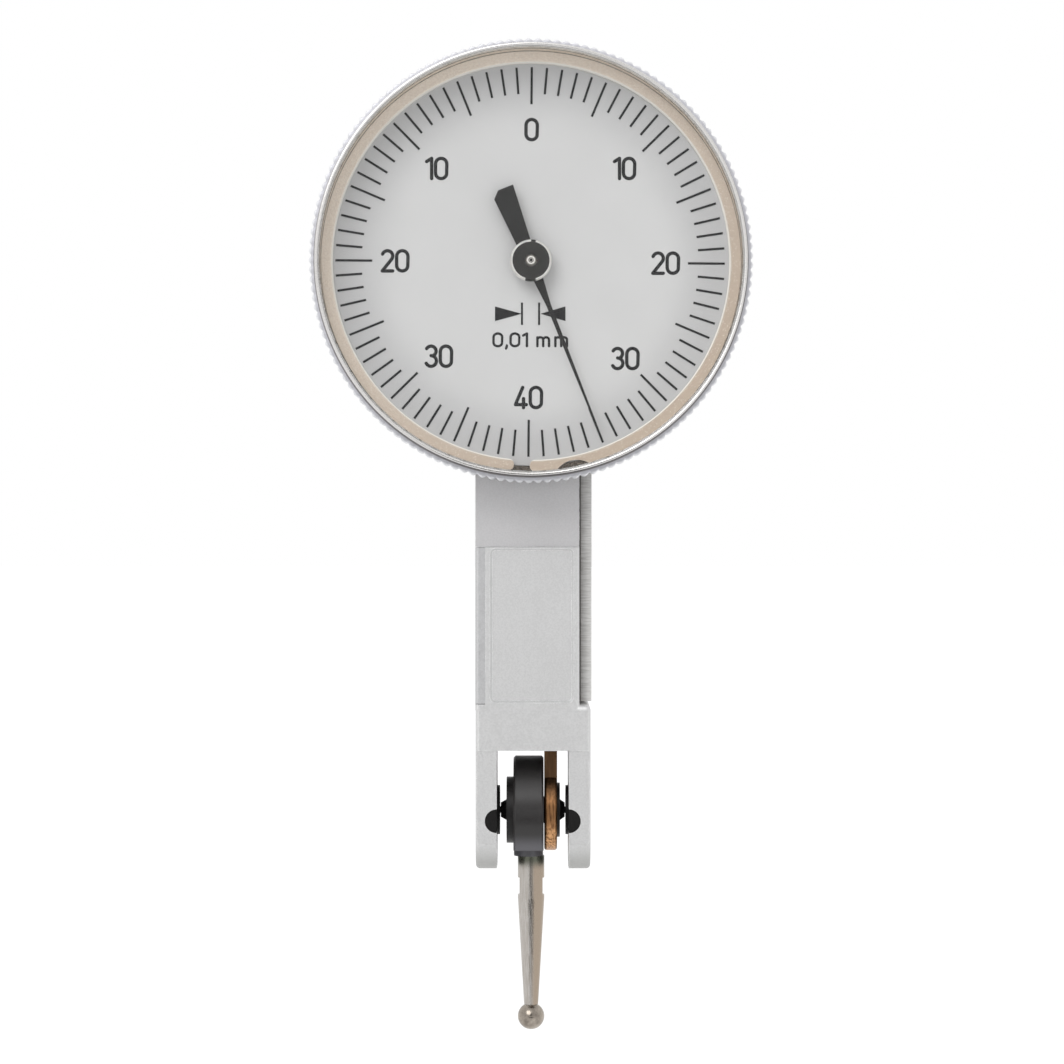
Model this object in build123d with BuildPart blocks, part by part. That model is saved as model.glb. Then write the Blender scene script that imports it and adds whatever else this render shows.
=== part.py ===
"""A dial test indicator with its stylus, lever, gear train, pointer and turning bezel.

Millimetres and degrees, +Z up, and the dial faces -Y. The origin lies on the outer face of the
rear dovetail, at the middle of its length and in the plane of the stylus. Heights named
"above the pivot" and depths named "forward" are measured from the stylus pivot.
"""

import os
from math import atan2, cos, degrees, pi, radians, sin, sqrt

from build123d import *

os.makedirs("parts", exist_ok=True)

# Scale and gear train. The sector is a short arc of a wheel of sector_teeth.
division = 0.01
divisions = 80
sector_module = 0.2
sector_teeth = 390
sector_cut_teeth = 7
arbor_leaves = 14
crown_module = 0.13
crown_teeth = 48
centre_leaves = 11
tooth_share = 0.38
tooth_addendum = 0.8
tooth_dedendum = 1.15
tooth_spread = 1.55
tooth_tip_share = 0.29
tooth_embed = 0.3

# Fits and small gaps.
running_clearance = 0.03
seat_clearance = 0.02
side_play = 0.06

# Body: the bar, its raised lower front, the fork and the dovetails.
body_depth = 8.0
bar_left = 4.12
bar_right = 3.58
bar_above_dial = 9.6
bar_corner = 1.6
bar_edge = 0.25
upper_setback = 0.6
raised_front_edge = 0.12
raised_front_height = 19.76
block_left = 4.1
block_right = 4.4
block_height = 8.12
block_corner = 0.45
fork_edge = 0.3
slot_left = 2.54
slot_right = 2.79
slot_height = 4.69
ear_drop = 4.24
ear_end_radius = 2.62
ear_relief = 0.08
panel_left = 3.03
panel_right = 3.15
panel_edge = 0.12
panel_depth = 0.16
panel_wall_slope = 45
panel_corner = 0.4
dovetail_width = 6.0
dovetail_height = 0.9
dovetail_angle = 60
dovetail_gap = 0.18

# Side cover on the left of the bar, and the window that it closes.
cover_thickness = 0.75
cover_gap = 0.05
cover_screw_inset = 0.72
window_inset = 1.45

# Dial case, bezel, crystal and dial plate. Insets are measured in from the knurled edge.
knurl_radius = 16.0
knurl_depth = 0.3
knurl_count = 145
knurl_width = 4.0
knurl_crest_share = 0.44
knurl_chamfer = 0.25
bezel_lip = 0.5
bezel_lip_inset = 0.4
rim_inset = 0.48
rim_width = 0.25
rim_height = 1.2
crystal_seat_inset = 0.8
dial_seat_inset = 1.24
dial_ledge_width = 0.56
dial_ledge_thickness = 0.4
skirt_wall = 0.72
case_inset = 0.7
case_floor = 0.8
case_flange = 1.55
case_spigot_height = 1.65
case_wall = 1.25
case_edge = 0.4
dial_plate_thickness = 0.5
dial_plate_proud = 0.25
dial_hole_radius = 1.1
crystal_thickness = 1.0
crystal_below_rim = 0.25
crystal_bead = 0.2
split_ring_width = 0.83
split_ring_height = 0.6
split_ring_bevel = 0.15
split_ring_end_radius = 0.38
split_ring_gap = 1.16
split_ring_gap_angle = -92.6
split_notch_radius = 1.78
split_notch_depth = 0.51
split_notch_angle = -78.4
friction_wire = 0.36
friction_ring_arc = 325

# Pointer.
pointer_angle = -68.3
pointer_tip_gap = 1.17
pointer_tip_width = 0.12
pointer_shoulder = 3.4
pointer_shoulder_width = 0.34
pointer_root_width = 0.7
pointer_tail = 5.6
pointer_tail_width = 1.66
pointer_tail_root_width = 0.86
pointer_tail_chamfer = 0.5
pointer_thickness = 0.12
pointer_above_dial = 0.8
pointer_boss_radius = 1.5
pointer_boss_height = 0.62
pointer_boss_bevel = 0.13
pointer_pipe_radius = 0.75

# Movement: arbors, bearings, bridge, cock and hairspring.
centre_arbor_radius = 0.43
centre_pivot_radius = 0.12
centre_pivot_length = 0.5
centre_pinion_length = 0.75
arbor_tip = 0.08
arbor_dimple = 0.1
crown_face_width = 0.5
crown_web_thickness = 0.42
crown_hub_radius = 0.9
crown_hub_length = 0.5
crown_spoke_width = 0.5
crown_rim_width = 0.55
crown_arbor_radius = 0.35
crown_pivot_radius = 0.15
crown_pivot_length = 0.55
arbor_pinion_overhang = 0.05
arbor_bearing_radius = 0.6
arbor_bearing_length = 0.85
front_jewel_radius = 0.9
rear_jewel_radius = 0.28
pocket_left = 3.1
pocket_right = 2.6
pocket_above = 5.0
pocket_below = 6.4
pocket_corner = 0.6
bridge_pillar_height = 2.0
bridge_thickness = 0.6
bridge_end_inset = 5.0
bridge_half_width = 2.0
bridge_centre_radius = 3.9
bridge_pillar_radius = 1.5
cock_width = 0.9
cock_foot_width = 2.2
cock_foot_thickness = 0.6
cock_foot_length = 2.9
cock_foot_corner = 0.44
cock_web_thickness = 0.8
cock_arm_thickness = 0.6
cock_gap = 0.18
hairspring_turns = 4
hairspring_thickness = 0.07
hairspring_height = 0.3
hairspring_outer_radius = 3.0
collet_radius = 0.8
collet_height = 0.6
collet_gap = 0.3
stud_radius = 0.32

# Screws: radius of the head, height of the head, radius of the shank and its length.
small_head = 0.55
small_head_height = 0.35
small_shank = 0.3
small_length = 0.9
bridge_screw_length = 1.4
cock_screw_length = 2.2
case_head = 0.85
case_head_height = 0.55
case_shank = 0.5
case_screw_length = 1.7
case_screw_half_span = 2.6
case_screw_bore_inset = 2.7
case_screw_top_inset = 1.7
screw_slot_share = 0.28
screw_slot_depth_share = 0.5
screw_sink = 0.05

# Pivot, its bearings, and the lever with its shaft, nut and washer.
bearing_flange_radius = 1.84
bearing_flange = 0.21
bearing_block_radius = 0.88
bearing_block_drop = 0.5
bearing_block_back = 0.9
bearing_boss_radius = 0.62
bearing_boss_length = 0.9
shaft_end_radius = 0.25
shaft_end_depth = 0.65
neck_small_radius = 0.54
neck_large_radius = 0.79
journal_radius = 1.0
clamp_nut_radius = 2.48
clamp_nut_thickness = 0.52
hub_radius = 4.06
hub_thickness = 2.24
hub_edge = 0.15
hub_flat_drop = 2.78
hub_collar_radius = 1.1
hub_collar_drop = 3.42
lever_thickness = 0.95
lever_boss_radius = 3.03
lever_root_half_width = 1.7
lever_neck_half_width = 0.9
lever_neck_height = 34.4
lever_edge = 0.2
lever_flare = 2.2
lever_slot_half_width = 0.4
lever_washer_radius = 2.03
lever_washer_thickness = 0.21
lever_channel_gap = 0.3
lever_channel_half_depth = 2.3
pivot_screw_radius = 0.8
hub_from_slot = 0.71

# Stylus.
ball_radius = 1.0
stylus_root_radius = 1.0
stylus_tip_radius = 0.535
stylus_taper_drop = 6.6
stylus_flat_width = 1.73
stylus_flat_top = 5.06
stylus_flat_bottom = 6.34
stylus_neck_radius = 0.4
stylus_neck_gap = 0.06
stylus_thread_radius = 0.6
stylus_thread_length = 1.3

# The gear train sets how high the dial stands and how long the stylus is.
sector_radius = sector_teeth * sector_module / 2
arbor_pinion_radius = arbor_leaves * sector_module / 2
crown_radius = crown_teeth * crown_module / 2
centre_pinion_radius = centre_leaves * crown_module / 2
dial_height = sector_radius + arbor_pinion_radius
train_ratio = sector_teeth / arbor_leaves * crown_teeth / centre_leaves
stylus_arm = division * divisions * train_ratio / (2 * pi)

# Radii and spans of the dial, from its knurled edge inwards.
bezel_lip_radius = knurl_radius - bezel_lip_inset
rim_radius = knurl_radius - rim_inset
bezel_bore_radius = knurl_radius - crystal_seat_inset
crystal_radius = bezel_bore_radius - seat_clearance
split_ring_radius = bezel_bore_radius - seat_clearance
split_ring_inner_radius = split_ring_radius - split_ring_width
pointer_reach = split_ring_inner_radius - pointer_tip_gap
dial_plate_radius = knurl_radius - dial_seat_inset
dial_ledge_radius = dial_plate_radius - dial_ledge_width
skirt_radius = bezel_lip_radius - skirt_wall
case_radius = knurl_radius - case_inset
case_spigot_radius = skirt_radius - running_clearance
case_bore_radius = case_spigot_radius - case_wall
case_screw_low = case_bore_radius - case_screw_bore_inset
case_screw_high = bar_above_dial - case_screw_top_inset
bridge_span = case_bore_radius - bridge_end_inset

# Places of the pivot and the dial in the model's frame.
bar_height = dial_height + bar_above_dial
dovetail_bottom = block_height + dovetail_gap
half_depth = body_depth / 2
pivot_y = -dovetail_height - half_depth
pivot_z = -(dovetail_bottom + bar_height) / 2
dial_z = pivot_z + dial_height

# Depths forward of the pivot.
upper_front = half_depth - upper_setback
case_front = upper_front + case_floor
flange_front = upper_front + case_flange
spigot_front = flange_front + case_spigot_height
bezel_back = flange_front + seat_clearance
ledge_back = spigot_front + 2 * running_clearance
plate_back = ledge_back + dial_ledge_thickness
plate_front = plate_back + dial_plate_thickness
ledge_front = plate_front - dial_plate_proud
knurl_back = bezel_back + bezel_lip
knurl_front = knurl_back + knurl_width
rim_front = knurl_front + rim_height
crystal_front = rim_front - crystal_below_rim
crystal_back = crystal_front - crystal_thickness
crystal_middle = (crystal_front + crystal_back) / 2
pointer_back = plate_front + pointer_above_dial
pointer_front = pointer_back + pointer_thickness
boss_front = pointer_front + pointer_boss_height
bridge_forward = case_front + bridge_pillar_height
bridge_front = bridge_forward + bridge_thickness
pinion_back = crown_radius - centre_pinion_length / 2
arm_front = pinion_back - cock_gap
arm_back = arm_front - cock_arm_thickness
arbor_shoulder = pinion_back - cock_gap / 2
collet_back = bridge_forward - collet_gap - collet_height

# Places along the pivot shaft, from the plane of the stylus to the right.
nut_left = -slot_left + hub_from_slot
hub_left = nut_left + clamp_nut_thickness
hub_right = hub_left + hub_thickness
lever_left = hub_right + side_play
lever_right = lever_left + lever_thickness
washer_right = lever_right + lever_washer_thickness

# Planes and axes that the pieces are drawn on.
dial_turning = Plane(origin=(0, pivot_y, dial_z), x_dir=(1, 0, 0), z_dir=(0, 0, -1))
dial_axis = Axis((0, pivot_y, dial_z), (0, -1, 0))
pivot_turning = Plane(origin=(0, pivot_y, pivot_z), x_dir=(1, 0, 0), z_dir=(0, -1, 0))
pivot_axis = Axis((0, pivot_y, pivot_z), (1, 0, 0))
stylus_axis = Axis((0, pivot_y, pivot_z), (0, 0, 1))
arbor_turning = Plane(origin=(0, pivot_y, dial_z), x_dir=(1, 0, 0), z_dir=(0, -1, 0))
arbor_axis = Axis((0, pivot_y, dial_z), (1, 0, 0))


def dial_layer(forward):
    """A plane that faces the reader, centred on the dial, this far forward."""
    return Plane(origin=(0, pivot_y - forward, dial_z), x_dir=(1, 0, 0), z_dir=(0, -1, 0))


def front_layer(forward):
    """A plane that faces the reader, centred on the pivot, this far forward."""
    return Plane(origin=(0, pivot_y - forward, pivot_z), x_dir=(1, 0, 0), z_dir=(0, -1, 0))


def side_layer(x, height=0):
    """A plane that faces right, with its y up, at this height above the pivot."""
    return Plane(origin=(x, pivot_y, pivot_z + height), x_dir=(0, 1, 0), z_dir=(1, 0, 0))


def polar(radius, angle):
    """A point at this radius and angle in degrees."""
    return radius * cos(radians(angle)), radius * sin(radians(angle))


def tooth(module):
    """The points of one tooth that points along x, with its pitch line at x = 0."""
    half = tooth_share * pi * module / 2
    root_half = half * tooth_spread
    tip_half = root_half * tooth_tip_share
    root = -(tooth_dedendum + tooth_embed) * module
    tip = tooth_addendum * module
    return [(root, -root_half), (tip, -tip_half), (tip, tip_half), (root, root_half)]


def slotted_screws(seat, spots, head, head_height, shank, length):
    """Cheese-head screws with their heads seated on a plane, at these spots on it."""
    with BuildPart(seat) as screws:
        with Locations(*[(x, y, 0) for x, y in spots]):
            Cylinder(head, head_height, align=(Align.CENTER, Align.CENTER, Align.MIN))
            Cylinder(shank, length, align=(Align.CENTER, Align.CENTER, Align.MAX))
        with Locations(*[(x, y, head_height) for x, y in spots]):
            Box(3 * head, head * screw_slot_share, 2 * head_height * screw_slot_depth_share, mode=Mode.SUBTRACT)
    return screws


def screw_holes(seat, spots, head, shank, length):
    """The tool that cuts the clearance for such screws below and above their seat."""
    with BuildPart(seat, mode=Mode.PRIVATE) as holes:
        with Locations(*[(x, y, 0) for x, y in spots]):
            Cylinder(
                shank + seat_clearance,
                length + side_play,
                align=(Align.CENTER, Align.CENTER, Align.MAX),
            )
            if head:
                Cylinder(
                    head + side_play,
                    head,
                    align=(Align.CENTER, Align.CENTER, Align.MIN),
                )
    return holes.part


# Spots of the screws.
case_spots = [
    (x, y)
    for x in (-case_screw_half_span, case_screw_half_span)
    for y in (-case_screw_low, case_screw_high)
]
bridge_spots = [(-bridge_span, 0), (bridge_span, 0)]
cock_foot_bottom = pocket_above + cock_gap
cock_spots = [(0, cock_foot_bottom + cock_foot_length / 2)]
cover_bottom = block_height + cover_gap
cover_top = raised_front_height - cover_gap
cover_seat = -bar_left + cover_thickness
cover_spots = [(0, cover_bottom + cover_screw_inset), (0, cover_top - cover_screw_inset)]
cover_head_seat = -bar_left + small_head_height + screw_sink
cover_screw_plane = Plane(
    origin=(cover_head_seat, pivot_y, pivot_z), x_dir=(0, -1, 0), z_dir=(-1, 0, 0)
)
case_screw_plane = dial_layer(case_front)
bridge_screw_plane = dial_layer(bridge_front - small_head_height - screw_sink)
cock_screw_plane = dial_layer(case_front + cock_foot_thickness)

# Body frame: fork, bar, raised front and dovetails, hollowed for the lever and the movement.
ear_front = half_depth - ear_relief
with BuildPart() as body_frame:
    with BuildSketch(side_layer(-block_left)):
        with BuildLine():
            Polyline(
                (-half_depth, block_height),
                (-half_depth, -ear_drop),
                (half_depth, -ear_drop),
                (half_depth, block_height),
                close=True,
            )
        make_face()
        fillet(vertices().group_by(Axis.Y)[0], ear_end_radius)
    extrude(amount=block_left + block_right)
    fillet(edges().filter_by(Axis.Z), fork_edge)
    top_right = edges().filter_by(Axis.Y).group_by(Axis.Z)[-1].sort_by(Axis.X)[-1]
    fillet(top_right, block_corner)
    with BuildSketch(front_layer(0)):
        with Locations(((slot_right - slot_left) / 2, slot_height)):
            Rectangle(
                slot_left + slot_right,
                slot_height + 2 * ear_drop,
                align=(Align.CENTER, Align.MAX),
            )
    extrude(amount=body_depth, both=True, mode=Mode.SUBTRACT)
    with BuildSketch(front_layer(ear_front)):
        with Locations((0, slot_height)):
            Rectangle(4 * block_left, 4 * ear_drop, align=(Align.CENTER, Align.MAX))
    extrude(amount=body_depth, mode=Mode.SUBTRACT)

    with BuildSketch(Plane.XY.offset(pivot_z + block_height - block_corner)):
        with Locations(((bar_right - bar_left) / 2, pivot_y)):
            Rectangle(bar_left + bar_right, body_depth)
        fillet(vertices(), bar_edge)
    extrude(amount=bar_height - block_height + block_corner)
    top_corners = edges().filter_by(Axis.Y).group_by(Axis.Z)[-1]
    fillet(top_corners, bar_corner)
    with BuildSketch(front_layer(upper_front)):
        with Locations((0, raised_front_height)):
            Rectangle(
                4 * block_left,
                bar_height,
                align=(Align.CENTER, Align.MIN),
            )
    extrude(amount=body_depth, mode=Mode.SUBTRACT)
    step_edges = edges().filter_by(Axis.X).filter_by_position(
        Axis.Z, pivot_z + raised_front_height, pivot_z + raised_front_height
    )
    fillet(step_edges.group_by(Axis.Y)[0], raised_front_edge)
    dovetail_root = dovetail_width / 2 - dovetail_height / sin(radians(dovetail_angle)) * cos(
        radians(dovetail_angle)
    )
    dovetail_outline = [
        (-dovetail_root, -bar_edge),
        (-dovetail_root, 0),
        (-dovetail_width / 2, dovetail_height),
        (dovetail_width / 2, dovetail_height),
        (dovetail_root, 0),
        (dovetail_root, -bar_edge),
    ]
    dovetail_start = pivot_z + dovetail_bottom
    dovetail_seats = [
        Plane((bar_right, pivot_y, dovetail_start), x_dir=(0, -1, 0), z_dir=(0, 0, 1)),
        Plane((0, pivot_y + half_depth, dovetail_start), x_dir=(1, 0, 0), z_dir=(0, 0, 1)),
    ]
    for seat in dovetail_seats:
        with BuildSketch(seat):
            Polygon(*dovetail_outline, align=None)
        extrude(amount=bar_height - dovetail_bottom - bar_corner)

    panel_bottom = block_height + panel_edge
    panel_top = raised_front_height - panel_edge
    with BuildSketch(front_layer(half_depth)):
        with Locations(((panel_right - panel_left) / 2, (panel_bottom + panel_top) / 2)):
            RectangleRounded(panel_left + panel_right, panel_top - panel_bottom, panel_corner)
    extrude(amount=-panel_depth, taper=panel_wall_slope, mode=Mode.SUBTRACT)

    # The seat of the side cover, the window behind it and the channel of the lever.
    with BuildSketch(side_layer(cover_seat)):
        with Locations((0, (block_height + raised_front_height) / 2)):
            Rectangle(2 * body_depth, raised_front_height - block_height)
    extrude(amount=-2 * cover_thickness, mode=Mode.SUBTRACT)
    with BuildSketch(side_layer(cover_seat)):
        with Locations((0, (cover_bottom + cover_top) / 2)):
            RectangleRounded(
                2 * lever_channel_half_depth,
                cover_top - cover_bottom - 2 * window_inset,
                panel_corner,
            )
    extrude(amount=lever_right - cover_seat, mode=Mode.SUBTRACT)
    with BuildSketch(side_layer(lever_left - lever_channel_gap)):
        with Locations((0, slot_height)):
            Rectangle(
                2 * lever_channel_half_depth,
                dial_height - slot_height,
                align=(Align.CENTER, Align.MIN),
            )
    extrude(amount=lever_thickness + 2 * lever_channel_gap, mode=Mode.SUBTRACT)

    # The movement pocket, open to the dial case.
    with BuildSketch(dial_layer(upper_front)):
        with Locations(((pocket_right - pocket_left) / 2, (pocket_above - pocket_below) / 2)):
            RectangleRounded(pocket_left + pocket_right, pocket_above + pocket_below, pocket_corner)
    pocket_back = crown_radius + crown_face_width / 2 + side_play + seat_clearance
    extrude(amount=-upper_front - pocket_back, mode=Mode.SUBTRACT)

    # Bores for the crown arbor's bearings: through the left wall, blind in the right one.
    with BuildSketch(side_layer(-pocket_left, dial_height)):
        Circle(arbor_bearing_radius)
    extrude(amount=pocket_left - bar_left - cover_gap, mode=Mode.SUBTRACT)
    with BuildSketch(side_layer(pocket_right, dial_height)):
        Circle(arbor_bearing_radius)
    extrude(amount=arbor_bearing_length + seat_clearance, mode=Mode.SUBTRACT)

    # In each ear: the half-round notch, the bore of the bearing and the bore of its screw.
    for face, outward, outer in ((-slot_left, -1, block_left), (slot_right, 1, block_right)):
        with BuildSketch(front_layer(half_depth)):
            with Locations((face, -bearing_block_drop)):
                Circle(bearing_block_radius)
        extrude(amount=-half_depth - bearing_block_back, mode=Mode.SUBTRACT)
        with BuildSketch(side_layer(face)):
            Circle(bearing_boss_radius)
        extrude(amount=outward * block_right, mode=Mode.SUBTRACT)
        with BuildSketch(side_layer(face + outward * bearing_boss_length)):
            Circle(pivot_screw_radius)
        extrude(amount=outward * block_right, mode=Mode.SUBTRACT)

    add(
        screw_holes(case_screw_plane, case_spots, 0, case_shank, case_screw_length),
        mode=Mode.SUBTRACT,
    )
    add(
        screw_holes(cock_screw_plane, cock_spots, 0, small_shank, cock_screw_length),
        mode=Mode.SUBTRACT,
    )
    add(
        screw_holes(cover_screw_plane, cover_spots, 0, small_shank, small_length),
        mode=Mode.SUBTRACT,
    )

case_screws = slotted_screws(
    case_screw_plane, case_spots, case_head, case_head_height, case_shank, case_screw_length
)

# Side cover, flush with the bar and open to front and back.
with BuildPart() as side_cover:
    with BuildSketch(side_layer(cover_seat)):
        with Locations((0, (cover_bottom + cover_top) / 2)):
            Rectangle(body_depth, cover_top - cover_bottom)
    extrude(amount=-cover_thickness)
    fillet(edges().filter_by(Axis.Z).group_by(Axis.X)[0], bar_edge)
    add(
        screw_holes(cover_screw_plane, cover_spots, small_head, small_shank, small_length),
        mode=Mode.SUBTRACT,
    )
cover_screws = slotted_screws(
    cover_screw_plane, cover_spots, small_head, small_head_height, small_shank, small_length
)

# Dial case: a turned cup with a spigot that the bezel turns on and two pillars for the bridge.
wire_centre = (case_spigot_radius + running_clearance / 2, flange_front + case_spigot_height / 2)
with BuildPart() as dial_case:
    with BuildSketch(dial_turning):
        Polygon(
            (0, upper_front),
            (case_radius - case_edge, upper_front),
            (case_radius, upper_front + case_edge),
            (case_radius, flange_front),
            (case_spigot_radius, flange_front),
            (case_spigot_radius, spigot_front),
            (case_bore_radius, spigot_front),
            (case_bore_radius, case_front),
            (0, case_front),
            align=None,
        )
    revolve(axis=dial_axis)
    with BuildSketch(dial_turning):
        with Locations(wire_centre):
            Circle(friction_wire / 2 + seat_clearance)
    revolve(axis=dial_axis, mode=Mode.SUBTRACT)
    with BuildSketch(dial_layer(case_front)):
        with Locations(*bridge_spots):
            Circle(bridge_pillar_radius)
    extrude(amount=bridge_forward - case_front)
    with BuildSketch(dial_layer(case_front)):
        with Locations(((pocket_right - pocket_left) / 2, (pocket_above - pocket_below) / 2)):
            RectangleRounded(pocket_left + pocket_right, pocket_above + pocket_below, pocket_corner)
    extrude(amount=-case_floor, mode=Mode.SUBTRACT)
    add(
        screw_holes(case_screw_plane, case_spots, 0, case_shank, case_screw_length),
        mode=Mode.SUBTRACT,
    )
    add(
        screw_holes(cock_screw_plane, cock_spots, 0, small_shank, cock_screw_length),
        mode=Mode.SUBTRACT,
    )
    add(
        screw_holes(bridge_screw_plane, bridge_spots, 0, small_shank, bridge_screw_length),
        mode=Mode.SUBTRACT,
    )

# The split wire that holds the bezel on the case with light friction.
with BuildPart() as friction_ring:
    with BuildSketch(dial_turning):
        with Locations(wire_centre):
            Circle(friction_wire / 2)
    revolve(axis=dial_axis, revolution_arc=friction_ring_arc)

# Movement bridge with the front jewel, the hairspring's stud and its two screws.
with BuildPart() as movement_bridge:
    with BuildSketch(dial_layer(bridge_forward)):
        Circle(bridge_centre_radius)
        Rectangle(2 * bridge_span, 2 * bridge_half_width)
        with Locations(*bridge_spots):
            Circle(bridge_half_width)
        Circle(front_jewel_radius, mode=Mode.SUBTRACT)
    extrude(amount=bridge_thickness)
    add(
        screw_holes(
            bridge_screw_plane, bridge_spots, small_head, small_shank, bridge_screw_length
        ),
        mode=Mode.SUBTRACT,
    )
bridge_screws = slotted_screws(
    bridge_screw_plane,
    bridge_spots,
    small_head,
    small_head_height,
    small_shank,
    bridge_screw_length,
)
with BuildPart() as front_jewel:
    with BuildSketch(dial_layer(bridge_forward)):
        Circle(front_jewel_radius - seat_clearance)
        Circle(centre_arbor_radius + running_clearance, mode=Mode.SUBTRACT)
    extrude(amount=bridge_thickness)

# Rear cock: a foot on the case's floor, a web back through the pocket and an arm with the jewel.
cock_web_top = pocket_above - cock_gap
with BuildPart() as rear_cock:
    with BuildSketch(side_layer(-cock_width / 2, dial_height)):
        Polygon(
            (-case_front - cock_foot_thickness, cock_foot_bottom),
            (-case_front - cock_foot_thickness, cock_web_top - cock_web_thickness),
            (-arm_front, cock_web_top - cock_web_thickness),
            (-arm_front, -cock_width / 2),
            (-arm_back, -cock_width / 2),
            (-arm_back, cock_web_top),
            (-case_front, cock_web_top),
            (-case_front, cock_foot_bottom),
            align=None,
        )
    extrude(amount=cock_width)
    with BuildSketch(dial_layer(case_front)):
        with Locations((0, cock_foot_bottom + cock_foot_length / 2)):
            RectangleRounded(cock_foot_width, cock_foot_length, cock_foot_corner)
    extrude(amount=cock_foot_thickness)
    with BuildSketch(dial_layer(arm_back)):
        Circle(rear_jewel_radius)
    extrude(amount=cock_arm_thickness, mode=Mode.SUBTRACT)
    add(
        screw_holes(cock_screw_plane, cock_spots, 0, small_shank, cock_screw_length),
        mode=Mode.SUBTRACT,
    )
cock_screw = slotted_screws(
    cock_screw_plane, cock_spots, small_head, small_head_height, small_shank, cock_screw_length
)
with BuildPart() as rear_jewel:
    with BuildSketch(dial_layer(arm_back)):
        Circle(rear_jewel_radius - seat_clearance)
        Circle(centre_pivot_radius + running_clearance, mode=Mode.SUBTRACT)
    extrude(amount=cock_arm_thickness)

# Centre arbor: its pinion meshes with the crown wheel, and its front end carries the pointer.
with BuildPart() as centre_arbor:
    with BuildSketch(dial_turning):
        Polygon(
            (0, arbor_shoulder - centre_pivot_length),
            (centre_pivot_radius, arbor_shoulder - centre_pivot_length),
            (centre_pivot_radius, arbor_shoulder),
            (centre_arbor_radius, arbor_shoulder),
            (centre_arbor_radius, boss_front + arbor_tip - arbor_dimple),
            (centre_arbor_radius - arbor_dimple, boss_front + arbor_tip),
            (arbor_dimple, boss_front + arbor_tip),
            (0, boss_front + arbor_tip - arbor_dimple),
            align=None,
        )
    revolve(axis=dial_axis)
    with BuildSketch(dial_layer(pinion_back)):
        Circle(centre_pinion_radius - tooth_dedendum * crown_module)
        with PolarLocations(centre_pinion_radius, centre_leaves, 180 + 180 / centre_leaves):
            Polygon(*tooth(crown_module), align=None)
    extrude(amount=centre_pinion_length)

# Hairspring, its collet on the arbor and its stud on the bridge.
with BuildPart() as hairspring_collet:
    with BuildSketch(dial_layer(collet_back)):
        Circle(collet_radius)
        Circle(centre_arbor_radius + seat_clearance, mode=Mode.SUBTRACT)
    extrude(amount=collet_height)


def spiral(offset):
    """Points along the hairspring from its collet to its stud, beside its middle line."""
    steps = 12 * hairspring_turns
    start = collet_radius + hairspring_thickness / 2 + seat_clearance
    growth = (hairspring_outer_radius - start) / steps
    return [polar(start + growth * i + offset, 90 + 30 * i) for i in range(steps + 1)]


with BuildPart() as hairspring:
    with BuildSketch(dial_layer(collet_back + (collet_height - hairspring_height) / 2)):
        with BuildLine():
            inner = Spline(*spiral(-hairspring_thickness / 2))
            outer = Spline(*spiral(hairspring_thickness / 2))
            Line(inner @ 0, outer @ 0)
            Line(inner @ 1, outer @ 1)
        make_face()
    extrude(amount=hairspring_height)
stud_distance = hairspring_outer_radius + hairspring_thickness / 2 + stud_radius + seat_clearance
with BuildPart() as hairspring_stud:
    with BuildSketch(dial_layer(bridge_forward)):
        with Locations((0, stud_distance)):
            Circle(stud_radius)
    extrude(amount=collet_back - bridge_forward)

# Crown wheel: spokes, rim and face teeth that point right at the centre pinion.
crown_tip = tooth_addendum * crown_module - centre_pinion_radius
crown_root = -tooth_dedendum * crown_module - centre_pinion_radius
crown_outer = crown_radius + crown_face_width / 2
with BuildPart() as crown_wheel:
    with BuildSketch(side_layer(crown_root, dial_height)):
        Circle(crown_outer)
        Circle(crown_outer - crown_rim_width, mode=Mode.SUBTRACT)
        Rectangle(2 * crown_outer - crown_rim_width, crown_spoke_width)
        Rectangle(crown_spoke_width, 2 * crown_outer - crown_rim_width)
        Circle(crown_hub_radius)
    extrude(amount=-crown_web_thickness)
    with BuildSketch(side_layer(crown_root - crown_web_thickness, dial_height)):
        Circle(crown_hub_radius)
    extrude(amount=-crown_hub_length)
    tooth_root_half = tooth_share * pi * crown_module / 2 * tooth_spread
    tooth_taper = degrees(
        atan2(tooth_root_half - tooth_root_half * tooth_tip_share, crown_tip - crown_root)
    )
    with BuildSketch(side_layer(crown_root, dial_height)):
        with PolarLocations(crown_radius, crown_teeth):
            Rectangle(crown_face_width, 2 * tooth_root_half)
    extrude(amount=crown_tip - crown_root, taper=tooth_taper)
    with BuildSketch(side_layer(crown_tip, dial_height)):
        Circle(crown_arbor_radius + seat_clearance)
    extrude(amount=-crown_outer, mode=Mode.SUBTRACT)

# Crown arbor, with the pinion that the sector drives, and its two bearings.
with BuildPart() as crown_arbor:
    with BuildSketch(arbor_turning):
        Polygon(
            (-pocket_left - crown_pivot_length, 0),
            (-pocket_left - crown_pivot_length, crown_pivot_radius),
            (-pocket_left + side_play, crown_pivot_radius),
            (-pocket_left + side_play, crown_arbor_radius),
            (pocket_right - side_play, crown_arbor_radius),
            (pocket_right - side_play, crown_pivot_radius),
            (pocket_right + crown_pivot_length, crown_pivot_radius),
            (pocket_right + crown_pivot_length, 0),
            align=None,
        )
    revolve(axis=arbor_axis)
    with BuildSketch(side_layer(lever_left - arbor_pinion_overhang, dial_height)):
        Circle(arbor_pinion_radius - tooth_dedendum * sector_module)
        with PolarLocations(arbor_pinion_radius, arbor_leaves, -90 + 180 / arbor_leaves):
            Polygon(*tooth(sector_module), align=None)
    extrude(amount=lever_thickness + 2 * arbor_pinion_overhang)
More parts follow.
